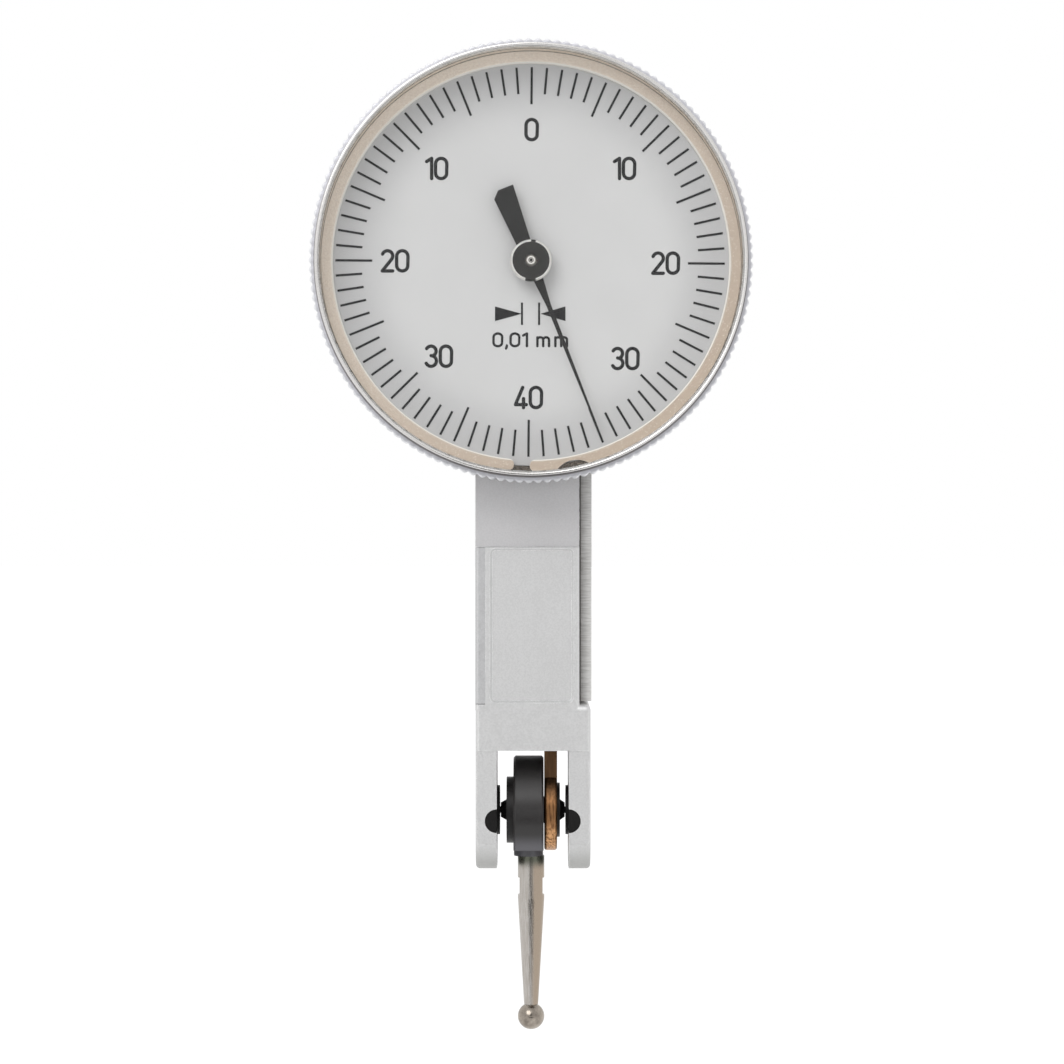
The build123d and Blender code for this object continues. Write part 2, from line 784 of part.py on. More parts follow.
with BuildPart() as arbor_bearing_left:
    with BuildSketch(side_layer(-pocket_left, dial_height)):
        Circle(arbor_bearing_radius - seat_clearance)
    extrude(amount=pocket_left - bar_left)
    with BuildSketch(side_layer(-pocket_left, dial_height)):
        Circle(crown_pivot_radius + running_clearance)
    extrude(amount=-crown_pivot_length - side_play, mode=Mode.SUBTRACT)
    with BuildSketch(side_layer(-bar_left, dial_height)):
        Rectangle(3 * arbor_bearing_radius, arbor_bearing_radius * screw_slot_share)
    extrude(amount=arbor_bearing_radius * screw_slot_share, mode=Mode.SUBTRACT)
with BuildPart() as arbor_bearing_right:
    with BuildSketch(side_layer(pocket_right, dial_height)):
        Circle(arbor_bearing_radius - seat_clearance)
    extrude(amount=arbor_bearing_length)
    with BuildSketch(side_layer(pocket_right, dial_height)):
        Circle(crown_pivot_radius + running_clearance)
    extrude(amount=crown_pivot_length + side_play, mode=Mode.SUBTRACT)

# Transmission lever: a round boss, a slotted arm and the toothed sector at its top.
tooth_pitch = 360 / sector_teeth
sector_half = sector_cut_teeth * tooth_pitch / 2
sector_root = sector_radius - tooth_dedendum * sector_module
with BuildPart() as transmission_lever:
    with BuildSketch(side_layer(lever_left)):
        Circle(lever_boss_radius)
        with BuildLine():
            Polyline(
                polar(sector_root, 90 + sector_half),
                polar(sector_root - lever_flare / 2, 90 + sector_half),
                (-lever_neck_half_width, lever_neck_height),
                (-lever_root_half_width, 0),
                (lever_root_half_width, 0),
                (lever_neck_half_width, lever_neck_height),
                polar(sector_root - lever_flare / 2, 90 - sector_half),
                polar(sector_root, 90 - sector_half),
            )
            ThreePointArc(
                polar(sector_root, 90 - sector_half),
                (0, sector_root),
                polar(sector_root, 90 + sector_half),
            )
        make_face()
        with PolarLocations(
            sector_radius,
            sector_cut_teeth,
            start_angle=90 - sector_half + tooth_pitch / 2,
            angular_range=2 * sector_half,
        ):
            Polygon(*tooth(sector_module), align=None)
        with Locations((0, (lever_boss_radius + lever_neck_height) / 2)):
            SlotOverall(
                lever_neck_height - 2 * lever_boss_radius,
                2 * lever_slot_half_width,
                rotation=90,
                mode=Mode.SUBTRACT,
            )
        Circle(journal_radius + seat_clearance, mode=Mode.SUBTRACT)
    extrude(amount=lever_thickness)
    boss_edges = edges().filter_by(GeomType.CIRCLE).filter_by_position(
        Axis.Z, pivot_z - 2 * lever_boss_radius, pivot_z
    )
    fillet(boss_edges.filter_by(lambda edge: edge.radius > lever_boss_radius - side_play), lever_edge)

# Pivot shaft: a journal with a flared neck and a fine pivot at each end.
left_neck = -slot_left + bearing_flange + side_play
right_neck = slot_right - bearing_flange - side_play
with BuildPart() as pivot_shaft:
    with BuildSketch(pivot_turning):
        Polygon(
            (-slot_left - shaft_end_depth, 0),
            (-slot_left - shaft_end_depth, shaft_end_radius),
            (left_neck, shaft_end_radius),
            (left_neck, neck_small_radius),
            (nut_left, neck_large_radius),
            (nut_left, journal_radius),
            (washer_right, journal_radius),
            (washer_right, neck_large_radius),
            (right_neck, neck_small_radius),
            (right_neck, shaft_end_radius),
            (slot_right + shaft_end_depth, shaft_end_radius),
            (slot_right + shaft_end_depth, 0),
            align=None,
        )
    revolve(axis=pivot_axis)
with BuildPart() as clamp_nut:
    with BuildSketch(side_layer(nut_left)):
        Circle(clamp_nut_radius)
        Circle(journal_radius + seat_clearance, mode=Mode.SUBTRACT)
    extrude(amount=clamp_nut_thickness - seat_clearance)
with BuildPart() as lever_washer:
    with BuildSketch(side_layer(lever_right)):
        Circle(lever_washer_radius)
        Circle(journal_radius + seat_clearance, mode=Mode.SUBTRACT)
    extrude(amount=lever_washer_thickness)


def pivot_bearing(face, outward):
    """A bearing in an ear: thin flange, half-round block in the notch and boss in the bore."""
    with BuildPart() as bearing:
        with BuildSketch(side_layer(face)):
            Circle(bearing_flange_radius)
        extrude(amount=-outward * bearing_flange)
        with BuildSketch(side_layer(face)):
            Circle(bearing_boss_radius - seat_clearance)
        extrude(amount=outward * bearing_boss_length)
        with BuildSketch(front_layer(ear_front - seat_clearance)):
            with Locations((face, -bearing_block_drop)):
                Circle(bearing_block_radius - seat_clearance)
                Rectangle(
                    bearing_block_radius,
                    2 * bearing_block_radius,
                    align=(Align.MAX if outward < 0 else Align.MIN, Align.CENTER),
                    mode=Mode.INTERSECT,
                )
        extrude(amount=-ear_front - bearing_block_back + 2 * seat_clearance)
        with BuildSketch(side_layer(face - outward * bearing_flange)):
            Circle(shaft_end_radius + running_clearance)
        extrude(
            amount=outward * (bearing_flange + shaft_end_depth + side_play), mode=Mode.SUBTRACT
        )
    return bearing


def pivot_screw(face, outward, outer):
    """The slotted set screw behind a bearing, flush with the ear's outer face."""
    depth = outer - abs(face) - bearing_boss_length - seat_clearance
    with BuildPart() as screw:
        with BuildSketch(side_layer(outward * outer)):
            Circle(pivot_screw_radius - seat_clearance)
        extrude(amount=-outward * depth)
        with BuildSketch(side_layer(outward * outer)):
            Rectangle(3 * pivot_screw_radius, pivot_screw_radius * screw_slot_share)
        extrude(amount=-outward * depth / 2, mode=Mode.SUBTRACT)
    return screw


# Stylus hub: a disc with a flat below, and a collar that takes the stylus.
hub_middle = (hub_left + hub_right) / 2
with BuildPart() as stylus_hub:
    with BuildSketch(side_layer(hub_left)):
        Circle(hub_radius)
        with Locations((0, -hub_flat_drop)):
            Rectangle(2 * hub_radius, hub_radius, align=(Align.CENTER, Align.MAX), mode=Mode.SUBTRACT)
    extrude(amount=hub_thickness)
    chamfer(edges().filter_by(GeomType.CIRCLE), hub_edge)
    with BuildSketch(Plane.XY.offset(pivot_z - hub_flat_drop)):
        with Locations((hub_middle, pivot_y)):
            Circle(hub_collar_radius)
    extrude(amount=hub_flat_drop - hub_collar_drop)
    with BuildSketch(side_layer(hub_left)):
        Circle(journal_radius + running_clearance)
    extrude(amount=hub_thickness, mode=Mode.SUBTRACT)
    with BuildSketch(Plane.XY.offset(pivot_z - hub_collar_drop)):
        with Locations((0, pivot_y)):
            Circle(stylus_thread_radius + seat_clearance)
    extrude(amount=stylus_thread_length + side_play, mode=Mode.SUBTRACT)

# Stylus shank, from its thread to the neck that the ball is fixed on.
ball_flat_drop = stylus_arm - sqrt(ball_radius**2 - stylus_tip_radius**2)
with BuildPart() as stylus_shank:
    with BuildSketch(pivot_turning):
        Polygon(
            (0, stylus_thread_length - hub_collar_drop),
            (stylus_thread_radius, stylus_thread_length - hub_collar_drop),
            (stylus_thread_radius, -hub_collar_drop),
            (stylus_root_radius, -hub_collar_drop),
            (stylus_root_radius, -stylus_taper_drop),
            (stylus_tip_radius, -ball_flat_drop + stylus_neck_gap),
            (stylus_neck_radius, -ball_flat_drop + stylus_neck_gap),
            (stylus_neck_radius, -stylus_arm),
            (0, -stylus_arm),
            align=None,
        )
    revolve(axis=stylus_axis)
    with BuildSketch(Plane.XY.offset(pivot_z - stylus_flat_bottom)):
        with Locations((0, pivot_y)):
            Rectangle(4 * stylus_root_radius, 4 * stylus_root_radius)
            Rectangle(stylus_flat_width, 4 * stylus_root_radius, mode=Mode.SUBTRACT)
    extrude(amount=stylus_flat_bottom - stylus_flat_top, mode=Mode.SUBTRACT)
with BuildPart() as contact_ball:
    with BuildSketch(pivot_turning):
        with Locations((0, -stylus_arm)):
            Circle(ball_radius)
            Rectangle(
                2 * ball_radius,
                2 * ball_radius,
                align=(Align.MAX, Align.CENTER),
                mode=Mode.SUBTRACT,
            )
        with Locations((0, -ball_flat_drop)):
            Rectangle(
                2 * ball_radius,
                ball_radius,
                align=(Align.CENTER, Align.MIN),
                mode=Mode.SUBTRACT,
            )
        with Locations((0, -stylus_arm - seat_clearance)):
            Rectangle(
                stylus_neck_radius + seat_clearance,
                ball_radius,
                align=(Align.MIN, Align.MIN),
                mode=Mode.SUBTRACT,
            )
    revolve(axis=stylus_axis)

# Bezel: a knurled band on a turned ring with a seat for the dial plate and one for the crystal.
knurl_pitch = 360 / knurl_count


def knurl_outline():
    """The points of the knurled edge: a valley and a flat-topped crest for each tooth."""
    corners = []
    for i in range(knurl_count):
        corners.append(polar(knurl_radius - knurl_depth, (i - 0.5) * knurl_pitch))
        corners.append(polar(knurl_radius, (i - knurl_crest_share / 2) * knurl_pitch))
        corners.append(polar(knurl_radius, (i + knurl_crest_share / 2) * knurl_pitch))
    return corners


with BuildPart() as bezel_ring:
    with BuildSketch(dial_layer(knurl_back)):
        Polygon(*knurl_outline(), align=None)
        Circle(bezel_lip_radius - knurl_depth, mode=Mode.SUBTRACT)
    extrude(amount=knurl_width)
    with BuildSketch(dial_turning):
        Polygon(
            (bezel_lip_radius - 2 * knurl_depth, knurl_back),
            (knurl_radius - knurl_chamfer, knurl_back),
            (knurl_radius + seat_clearance, knurl_back + knurl_chamfer),
            (knurl_radius + seat_clearance, knurl_front - knurl_chamfer),
            (knurl_radius - knurl_chamfer, knurl_front),
            (bezel_lip_radius - 2 * knurl_depth, knurl_front),
            align=None,
        )
    revolve(axis=dial_axis, mode=Mode.INTERSECT)
    with BuildSketch(dial_turning):
        Polygon(
            (skirt_radius, bezel_back),
            (bezel_lip_radius, bezel_back),
            (bezel_lip_radius, knurl_front),
            (rim_radius, knurl_front + seat_clearance),
            (rim_radius, rim_front - rim_width / 2),
            (rim_radius - rim_width / 3, rim_front),
            (rim_radius - rim_width, rim_front),
            (bezel_bore_radius, crystal_front),
            (bezel_bore_radius + crystal_bead, crystal_middle),
            (bezel_bore_radius, crystal_back),
            (bezel_bore_radius, ledge_front),
            (dial_plate_radius + seat_clearance, ledge_front),
            (dial_plate_radius + seat_clearance, plate_back),
            (dial_ledge_radius, plate_back),
            (dial_ledge_radius, ledge_back),
            (skirt_radius, ledge_back),
            align=None,
        )
        with Locations(wire_centre):
            Circle(friction_wire / 2 + running_clearance, mode=Mode.SUBTRACT)
    revolve(axis=dial_axis)
with BuildPart() as crystal:
    with BuildSketch(dial_turning):
        Polygon(
            (0, crystal_back),
            (crystal_radius, crystal_back),
            (crystal_radius + crystal_bead, crystal_middle),
            (crystal_radius, crystal_front),
            (0, crystal_front),
            align=None,
        )
    revolve(axis=dial_axis)
with BuildPart() as dial_plate:
    with BuildSketch(dial_layer(plate_back)):
        Circle(dial_plate_radius)
        Circle(dial_hole_radius, mode=Mode.SUBTRACT)
    extrude(amount=dial_plate_thickness)

# Split ring that holds the dial plate down, with its gap and the half-round cut-out beside it.
with BuildPart() as split_ring:
    with BuildSketch(dial_turning):
        Polygon(
            (split_ring_inner_radius, plate_front),
            (split_ring_radius, plate_front),
            (split_ring_radius, plate_front + split_ring_height),
            (split_ring_inner_radius + split_ring_bevel, plate_front + split_ring_height),
            (split_ring_inner_radius, plate_front + split_ring_height - split_ring_bevel),
            align=None,
        )
    revolve(axis=dial_axis)
    with BuildSketch(dial_layer(plate_front)):
        with Locations(Location((0, 0, 0), (0, 0, split_ring_gap_angle))):
            with Locations((split_ring_radius, 0)):
                Rectangle(4 * (split_ring_radius - split_ring_inner_radius), split_ring_gap)
    extrude(amount=2 * split_ring_height, mode=Mode.SUBTRACT)
    fillet(edges().filter_by(Axis.Y), split_ring_end_radius)
    with BuildSketch(dial_layer(plate_front)):
        with Locations(
            polar(split_ring_radius - split_notch_depth + split_notch_radius, split_notch_angle)
        ):
            Circle(split_notch_radius)
    extrude(amount=2 * split_ring_height, mode=Mode.SUBTRACT)

# Pointer hand: a long needle and a broad tail with one corner cut.
with BuildPart() as pointer_hand:
    with BuildSketch(dial_layer(pointer_back)):
        with Locations(Location((0, 0, 0), (0, 0, pointer_angle))):
            Polygon(
                (pointer_reach, -pointer_tip_width / 2),
                (pointer_reach, pointer_tip_width / 2),
                (pointer_shoulder, pointer_shoulder_width / 2),
                (pointer_boss_radius, pointer_root_width / 2),
                (0, pointer_root_width / 2),
                (0, -pointer_root_width / 2),
                (pointer_boss_radius, -pointer_root_width / 2),
                (pointer_shoulder, -pointer_shoulder_width / 2),
                align=None,
            )
            Polygon(
                (0, pointer_tail_root_width / 2),
                (-pointer_tail, pointer_tail_width / 2),
                (-pointer_tail, pointer_tail_chamfer - pointer_tail_width / 2),
                (pointer_tail_chamfer - pointer_tail, -pointer_tail_width / 2),
                (0, -pointer_tail_root_width / 2),
                align=None,
            )
        Circle(pointer_boss_radius - pointer_boss_bevel)
        Circle(pointer_pipe_radius + seat_clearance, mode=Mode.SUBTRACT)
    extrude(amount=pointer_thickness)
with BuildPart() as pointer_boss:
    with BuildSketch(dial_turning):
        Polygon(
            (centre_arbor_radius + seat_clearance, pointer_back - pointer_thickness),
            (pointer_pipe_radius, pointer_back - pointer_thickness),
            (pointer_pipe_radius, pointer_front),
            (pointer_boss_radius, pointer_front),
            (pointer_boss_radius, boss_front - pointer_boss_bevel),
            (pointer_boss_radius - pointer_boss_bevel, boss_front),
            (centre_arbor_radius + seat_clearance, boss_front),
            align=None,
        )
    revolve(axis=dial_axis)

pieces = {
    "body_frame": body_frame,
    "side_cover": side_cover,
    "cover_screws": cover_screws,
    "dial_case": dial_case,
    "case_screws": case_screws,
    "friction_ring": friction_ring,
    "movement_bridge": movement_bridge,
    "bridge_screws": bridge_screws,
    "front_jewel": front_jewel,
    "rear_cock": rear_cock,
    "cock_screw": cock_screw,
    "rear_jewel": rear_jewel,
    "hairspring": hairspring,
    "hairspring_stud": hairspring_stud,
    "arbor_bearing_left": arbor_bearing_left,
    "arbor_bearing_right": arbor_bearing_right,
    "pivot_bearing_left": pivot_bearing(-slot_left, -1),
    "pivot_bearing_right": pivot_bearing(slot_right, 1),
    "pivot_screw_left": pivot_screw(-slot_left, -1, block_left),
    "pivot_screw_right": pivot_screw(slot_right, 1, block_right),
    "bezel_ring": bezel_ring,
    "crystal": crystal,
    "split_ring": split_ring,
    "dial_plate": dial_plate,
    "transmission_lever": transmission_lever,
    "pivot_shaft": pivot_shaft,
    "clamp_nut": clamp_nut,
    "lever_washer": lever_washer,
    "stylus_hub": stylus_hub,
    "stylus_shank": stylus_shank,
    "contact_ball": contact_ball,
    "crown_wheel": crown_wheel,
    "crown_arbor": crown_arbor,
    "centre_arbor": centre_arbor,
    "hairspring_collet": hairspring_collet,
    "pointer_hand": pointer_hand,
    "pointer_boss": pointer_boss,
}
for name, piece in pieces.items():
    piece.part.label = name
    export_step(piece.part, f"parts/{name}.step")
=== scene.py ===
"""The looks of a dial test indicator: finishes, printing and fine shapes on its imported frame.

Lengths in the dataclasses are metres, written as millimetres times MM. +Z is up, the dial faces
-Y, and each class below is one sub-assembly of the indicator.
"""

import logging
import math
from dataclasses import dataclass, field
from enum import Enum
from typing import Callable, Iterable, Mapping, Sequence

import bmesh
import bpy
from mathutils import Matrix, Vector


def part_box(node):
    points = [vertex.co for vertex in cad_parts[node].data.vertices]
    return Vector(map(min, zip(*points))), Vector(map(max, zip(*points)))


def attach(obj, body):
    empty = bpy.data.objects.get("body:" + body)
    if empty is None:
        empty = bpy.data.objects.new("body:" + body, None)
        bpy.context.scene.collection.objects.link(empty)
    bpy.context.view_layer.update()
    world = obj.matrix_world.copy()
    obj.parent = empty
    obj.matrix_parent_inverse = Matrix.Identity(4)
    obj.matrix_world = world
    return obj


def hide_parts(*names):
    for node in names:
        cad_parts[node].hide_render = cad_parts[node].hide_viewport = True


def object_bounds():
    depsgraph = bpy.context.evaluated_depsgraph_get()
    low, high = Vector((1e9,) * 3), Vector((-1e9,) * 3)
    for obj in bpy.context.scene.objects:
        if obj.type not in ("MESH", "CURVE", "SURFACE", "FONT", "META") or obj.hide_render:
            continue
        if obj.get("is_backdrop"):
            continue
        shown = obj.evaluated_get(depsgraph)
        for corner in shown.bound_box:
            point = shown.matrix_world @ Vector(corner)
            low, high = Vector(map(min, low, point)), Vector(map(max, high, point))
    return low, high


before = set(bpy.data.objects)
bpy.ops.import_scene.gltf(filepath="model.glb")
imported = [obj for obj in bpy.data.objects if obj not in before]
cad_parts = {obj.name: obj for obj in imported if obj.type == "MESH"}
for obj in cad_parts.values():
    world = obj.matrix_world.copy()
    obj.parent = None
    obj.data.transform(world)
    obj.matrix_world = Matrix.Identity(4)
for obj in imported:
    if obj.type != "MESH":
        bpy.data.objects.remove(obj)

MM = 0.001
LOG = logging.getLogger("indicator")

Colour = tuple[float, float, float, float]
Flat = tuple[float, float]
Place = tuple[float, float, float]
Socket = bpy.types.NodeSocket
Outputs = Mapping[str, Socket]

WHITE: Colour = (1, 1, 1, 1)

# The values of a noise between which its marks go from dark to light.
CRISP_MARKS: Flat = (0.35, 0.65)
SOFT_MARKS: Flat = (0.3, 0.7)


def paint(red: int, green: int, blue: int) -> Colour:
    """Turns a colour as it is seen on a screen into the linear colour that shaders take.

    Args:
        red: Red from 0 to 255.
        green: Green from 0 to 255.
        blue: Blue from 0 to 255.

    Returns:
        The linear colour with an alpha of 1.
    """

    def linear(value: int) -> float:
        """One channel in linear light."""
        share = value / 255
        return share / 12.92 if share <= 0.04045 else ((share + 0.055) / 1.055) ** 2.4

    return linear(red), linear(green), linear(blue), 1.0


class NodeSheet:
    """A node tree with short calls that add and join its nodes."""

    def __init__(self, tree: bpy.types.NodeTree) -> None:
        """Keeps the tree of a material, a world or a node group."""
        self.tree = tree

    def add(self, kind: str, feeds: dict | None = None, **settings: object) -> bpy.types.Node:
        """Adds one node.

        Args:
            kind: The node's type, without its ShaderNode prefix.
            feeds: Values or sockets for its inputs, by name or number.
            **settings: The node's own properties.

        Returns:
            The new node.
        """
        node = self.tree.nodes.new(f"ShaderNode{kind}")
        for name, value in settings.items():
            setattr(node, name, value)
        for name, value in (feeds or {}).items():
            self.feed(node.inputs[name], value)
        return node

    def feed(self, socket: Socket, value: object) -> None:
        """Joins a socket to an input, or writes a plain value into it.

        Args:
            socket: The input.
            value: The socket that feeds it, or a plain value.
        """
        if isinstance(value, bpy.types.NodeSocket):
            self.tree.links.new(value, socket)
        else:
            socket.default_value = value

    def math(self, operation: str, *values: object) -> Socket:
        """Adds a Math node and returns its output."""
        return self.add("Math", dict(enumerate(values)), operation=operation).outputs[0]

    def times(self, first: object, second: object) -> Socket:
        """Multiplies two values."""
        return self.math("MULTIPLY", first, second)

    def off(self, value: object, middle: float) -> Socket:
        """How far a value lies from a middle, on either side."""
        return self.math("ABSOLUTE", self.math("SUBTRACT", value, middle))

    def ramp(self, value: object, low: float, high: float, to_low: float = 0.0,
             to_high: float = 1.0) -> Socket:
        """Maps a value from one range to another with smooth ends.

        Args:
            value: The socket that is mapped.
            low: The value that gives to_low.
            high: The value that gives to_high.
            to_low: The result at low and below.
            to_high: The result at high and above.

        Returns:
            The mapped value.
        """
        ends = {"From Min": low, "From Max": high, "To Min": to_low, "To Max": to_high}
        node = self.add("MapRange", {"Value": value, **ends}, interpolation_type="SMOOTHSTEP")
        return node.outputs["Result"]

    def step(self, value: object, middle: float, blur: float) -> Socket:
        """Rises from 0 to 1 within a blur on either side of a middle."""
        return self.ramp(value, middle - blur, middle + blur)

    def blend(self, share: object, first: object, second: object) -> Socket:
        """Mixes two colours by a share."""
        return self.add("Mix", {0: share, 6: first, 7: second}, data_type="RGBA").outputs[2]


class Effect(Enum):
    """The shared surface effects: the name of each node group, its inputs and its outputs."""

    GRAIN = ("fine_grain", ("Size", "Cloud Size"), ("Tone", "Clouds"))
    TURNED = ("turned_lines", ("Pitch",), ("Rings", "Radius", "Clock"))
    BRUSHED = ("brushed_lines", ("Stretch",), ("Lines",))
    EDGE_MASK = ("edge_wear_and_highlight", ("Width",), ("Mask",))

    def __init__(self, group: str, inputs: tuple[str, ...], outputs: tuple[str, ...]) -> None:
        """Keeps the group's name and its sockets.

        Args:
            group: The name of the node group.
            inputs: Its inputs besides the coordinates.
            outputs: Its outputs.
        """
        self.group = group
        self.inputs = inputs
        self.outputs = outputs


class Effects:
    """Builds each shared effect once and places it in the materials that use it."""

    VECTORS = ("Coordinates", "Stretch")
    # The cosines at which the edge mask starts and is at its full strength.
    EDGE_COSINES = (0.995, 0.9)
    # The noise that breaks the edge mask up: its scale and the span of its marks.
    SPOT_SCALE = 1500.0
    SPOT_MARKS = (0.35, 0.6)

    def __init__(self) -> None:
        """Starts with no group made."""
        self._groups: dict[Effect, bpy.types.NodeTree] = {}

    def place(self, sheet: NodeSheet, effect: Effect, coordinates: Socket, **values: object) -> Outputs:
        """Adds a group node for an effect.

        Args:
            sheet: The material's sheet.
            effect: Which effect.
            coordinates: The coordinates that it is drawn on.
            **values: The group's other inputs, by name with underscores for spaces.

        Returns:
            The group node's outputs by name.
        """
        if effect not in self._groups:
            self._groups[effect] = self._build(effect)
        node = sheet.tree.nodes.new("ShaderNodeGroup")
        node.node_tree = self._groups[effect]
        for name, value in {"coordinates": coordinates, **values}.items():
            sheet.feed(node.inputs[name.replace("_", " ").title()], value)
        return node.outputs

    def _build(self, effect: Effect) -> bpy.types.NodeTree:
        """Makes the node group of one effect.

        Args:
            effect: Which effect.

        Returns:
            The node group.
        """
        makers: dict[Effect, Callable[[NodeSheet, Outputs], tuple[Socket, ...]]] = {
            Effect.GRAIN: self._grain,
            Effect.TURNED: self._turned,
            Effect.BRUSHED: self._brushed,
            Effect.EDGE_MASK: self._edge_mask,
        }
        group = bpy.data.node_groups.new(effect.group, "ShaderNodeTree")
        for way, names in (("INPUT", ("Coordinates", *effect.inputs)), ("OUTPUT", effect.outputs)):
            for name in names:
                kind = "NodeSocketVector" if name in self.VECTORS else "NodeSocketFloat"
                group.interface.new_socket(name=name, in_out=way, socket_type=kind)
        sheet = NodeSheet(group)
        source = group.nodes.new("NodeGroupInput").outputs
        sink = group.nodes.new("NodeGroupOutput").inputs
        for name, value in zip(effect.outputs, makers[effect](sheet, source)):
            sheet.feed(sink[name], value)
        return group

    @staticmethod
    def _grain(sheet: NodeSheet, source: Outputs) -> tuple[Socket, ...]:
        """Fine even grain, as bead blasting or paint gives, with larger soft clouds.

        Args:
            sheet: The group's sheet.
            source: The group's inputs by name.

        Returns:
            The tone and the clouds.
        """
        fine = sheet.add("TexNoise", {
            "Vector": source["Coordinates"], "Scale": sheet.math("DIVIDE", 1.0, source["Size"]),
            "Detail": 3.0, "Roughness": 0.6,
        })
        clouds = sheet.add("TexNoise", {
            "Vector": source["Coordinates"], "Scale": sheet.math("DIVIDE", 1.0, source["Cloud Size"]),
            "Detail": 2.0,
        })
        return fine.outputs["Fac"], clouds.outputs["Fac"]

    @staticmethod
    def _turned(sheet: NodeSheet, source: Outputs) -> tuple[Socket, ...]:
        """Fine rings round the Y axis, as a turning tool leaves, with the radius and the clock angle.

        Args:
            sheet: The group's sheet.
            source: The group's inputs by name.

        Returns:
            The rings, the radius and the clock angle.
        """
        parts = sheet.add("SeparateXYZ", {0: source["Coordinates"]}).outputs
        squares = [sheet.math("POWER", parts[axis], 2.0) for axis in "XZ"]
        radius = sheet.math("SQRT", sheet.math("ADD", *squares))
        depth = sheet.math("ADD", radius, parts["Y"])
        rings = sheet.add(
            "TexNoise", {"W": sheet.math("DIVIDE", depth, source["Pitch"]), "Scale": 1.0, "Detail": 2.0},
            noise_dimensions="1D",
        )
        angle = sheet.math("DEGREES", sheet.math("ARCTAN2", parts["X"], parts["Z"]))
        return rings.outputs["Fac"], radius, sheet.math("FLOORED_MODULO", angle, 360.0)

    @staticmethod
    def _brushed(sheet: NodeSheet, source: Outputs) -> tuple[Socket, ...]:
        """Long fine scratches: noise that is stretched along one direction.

        Args:
            sheet: The group's sheet.
            source: The group's inputs by name.

        Returns:
            The lines.
        """
        stretched = sheet.add(
            "VectorMath", {0: source["Coordinates"], 1: source["Stretch"]}, operation="MULTIPLY"
        )
        lines = sheet.add("TexNoise", {"Vector": stretched.outputs[0], "Scale": 1.0, "Detail": 4.0})
        return (lines.outputs["Fac"],)

    @staticmethod
    def _edge_mask(sheet: NodeSheet, source: Outputs) -> tuple[Socket, ...]:
        """A mask of the outer edges, broken up: it lays wear on some finishes and painted highlights on
        others.

        Args:
            sheet: The group's sheet.
            source: The group's inputs by name.

        Returns:
            The mask.
        """
        rounded = sheet.add("Bevel", {"Radius": source["Width"]}, samples=4).outputs["Normal"]
        flat = sheet.add("NewGeometry").outputs["Normal"]
        turned = sheet.add("VectorMath", {0: rounded, 1: flat}, operation="DOT_PRODUCT")
        edge = sheet.ramp(turned.outputs["Value"], *Effects.EDGE_COSINES)
        spots = sheet.add("TexNoise", {
            "Vector": source["Coordinates"], "Scale": Effects.SPOT_SCALE, "Detail": 3.0,
        })
        return (sheet.times(edge, sheet.ramp(spots.outputs["Fac"], *Effects.SPOT_MARKS)),)


EFFECTS = Effects()


class MaterialSheet(NodeSheet):
    """The sheet of a material with one Principled shader, drawn on Object coordinates."""

    def __init__(self, tree: bpy.types.NodeTree, metallic: float, specular: float) -> None:
        """Empties the tree and adds the shader and the coordinates.

        Args:
            tree: The material's tree.
            metallic: How metallic the surface is.
            specular: The shader's specular level.
        """
        super().__init__(tree)
        tree.nodes.clear()
        self.shader = self.add("BsdfPrincipled", {"Metallic": metallic, "Specular IOR Level": specular})
        self.place = self.add("TexCoord").outputs["Object"]

    def set(self, name: str, value: object) -> None:
        """Feeds one of the shader's inputs."""
        self.feed(self.shader.inputs[name], value)

    def parts(self) -> Outputs:
        """The X, Y and Z of the coordinates."""
        return self.add("SeparateXYZ", {0: self.place}).outputs

    def effect(self, effect: Effect, **values: object) -> Outputs:
        """Places an effect on the coordinates and returns its outputs."""
        return EFFECTS.place(self, effect, self.place, **values)

    def turned(self, centre: Vector, pitch: float = 1.0) -> Outputs:
        """Places the turned rings round an axis along Y.

        Args:
            centre: A point on the axis.
            pitch: How far the rings lie apart.

        Returns:
            The outputs Rings, Radius and Clock, which is the angle from the top in degrees.
        """
        centred = self.add("Mapping", {"Vector": self.place, "Location": -centre}, vector_type="POINT")
        return EFFECTS.place(self, Effect.TURNED, centred.outputs[0], pitch=pitch)

    def edge_mask(self, width: float, strength: float) -> Socket:
        """The edge mask, which lays wear on some finishes and painted highlights on others, weakened to a
        strength.
        """
        return self.times(self.effect(Effect.EDGE_MASK, width=width)["Mask"], strength)

    def relief(self, height: Socket, distance: float) -> None:
        """Feeds the shader's normal with a fine relief."""
        bump = self.add("Bump", {"Height": height, "Distance": distance, "Strength": 1.0})
        self.set("Normal", bump.outputs["Normal"])


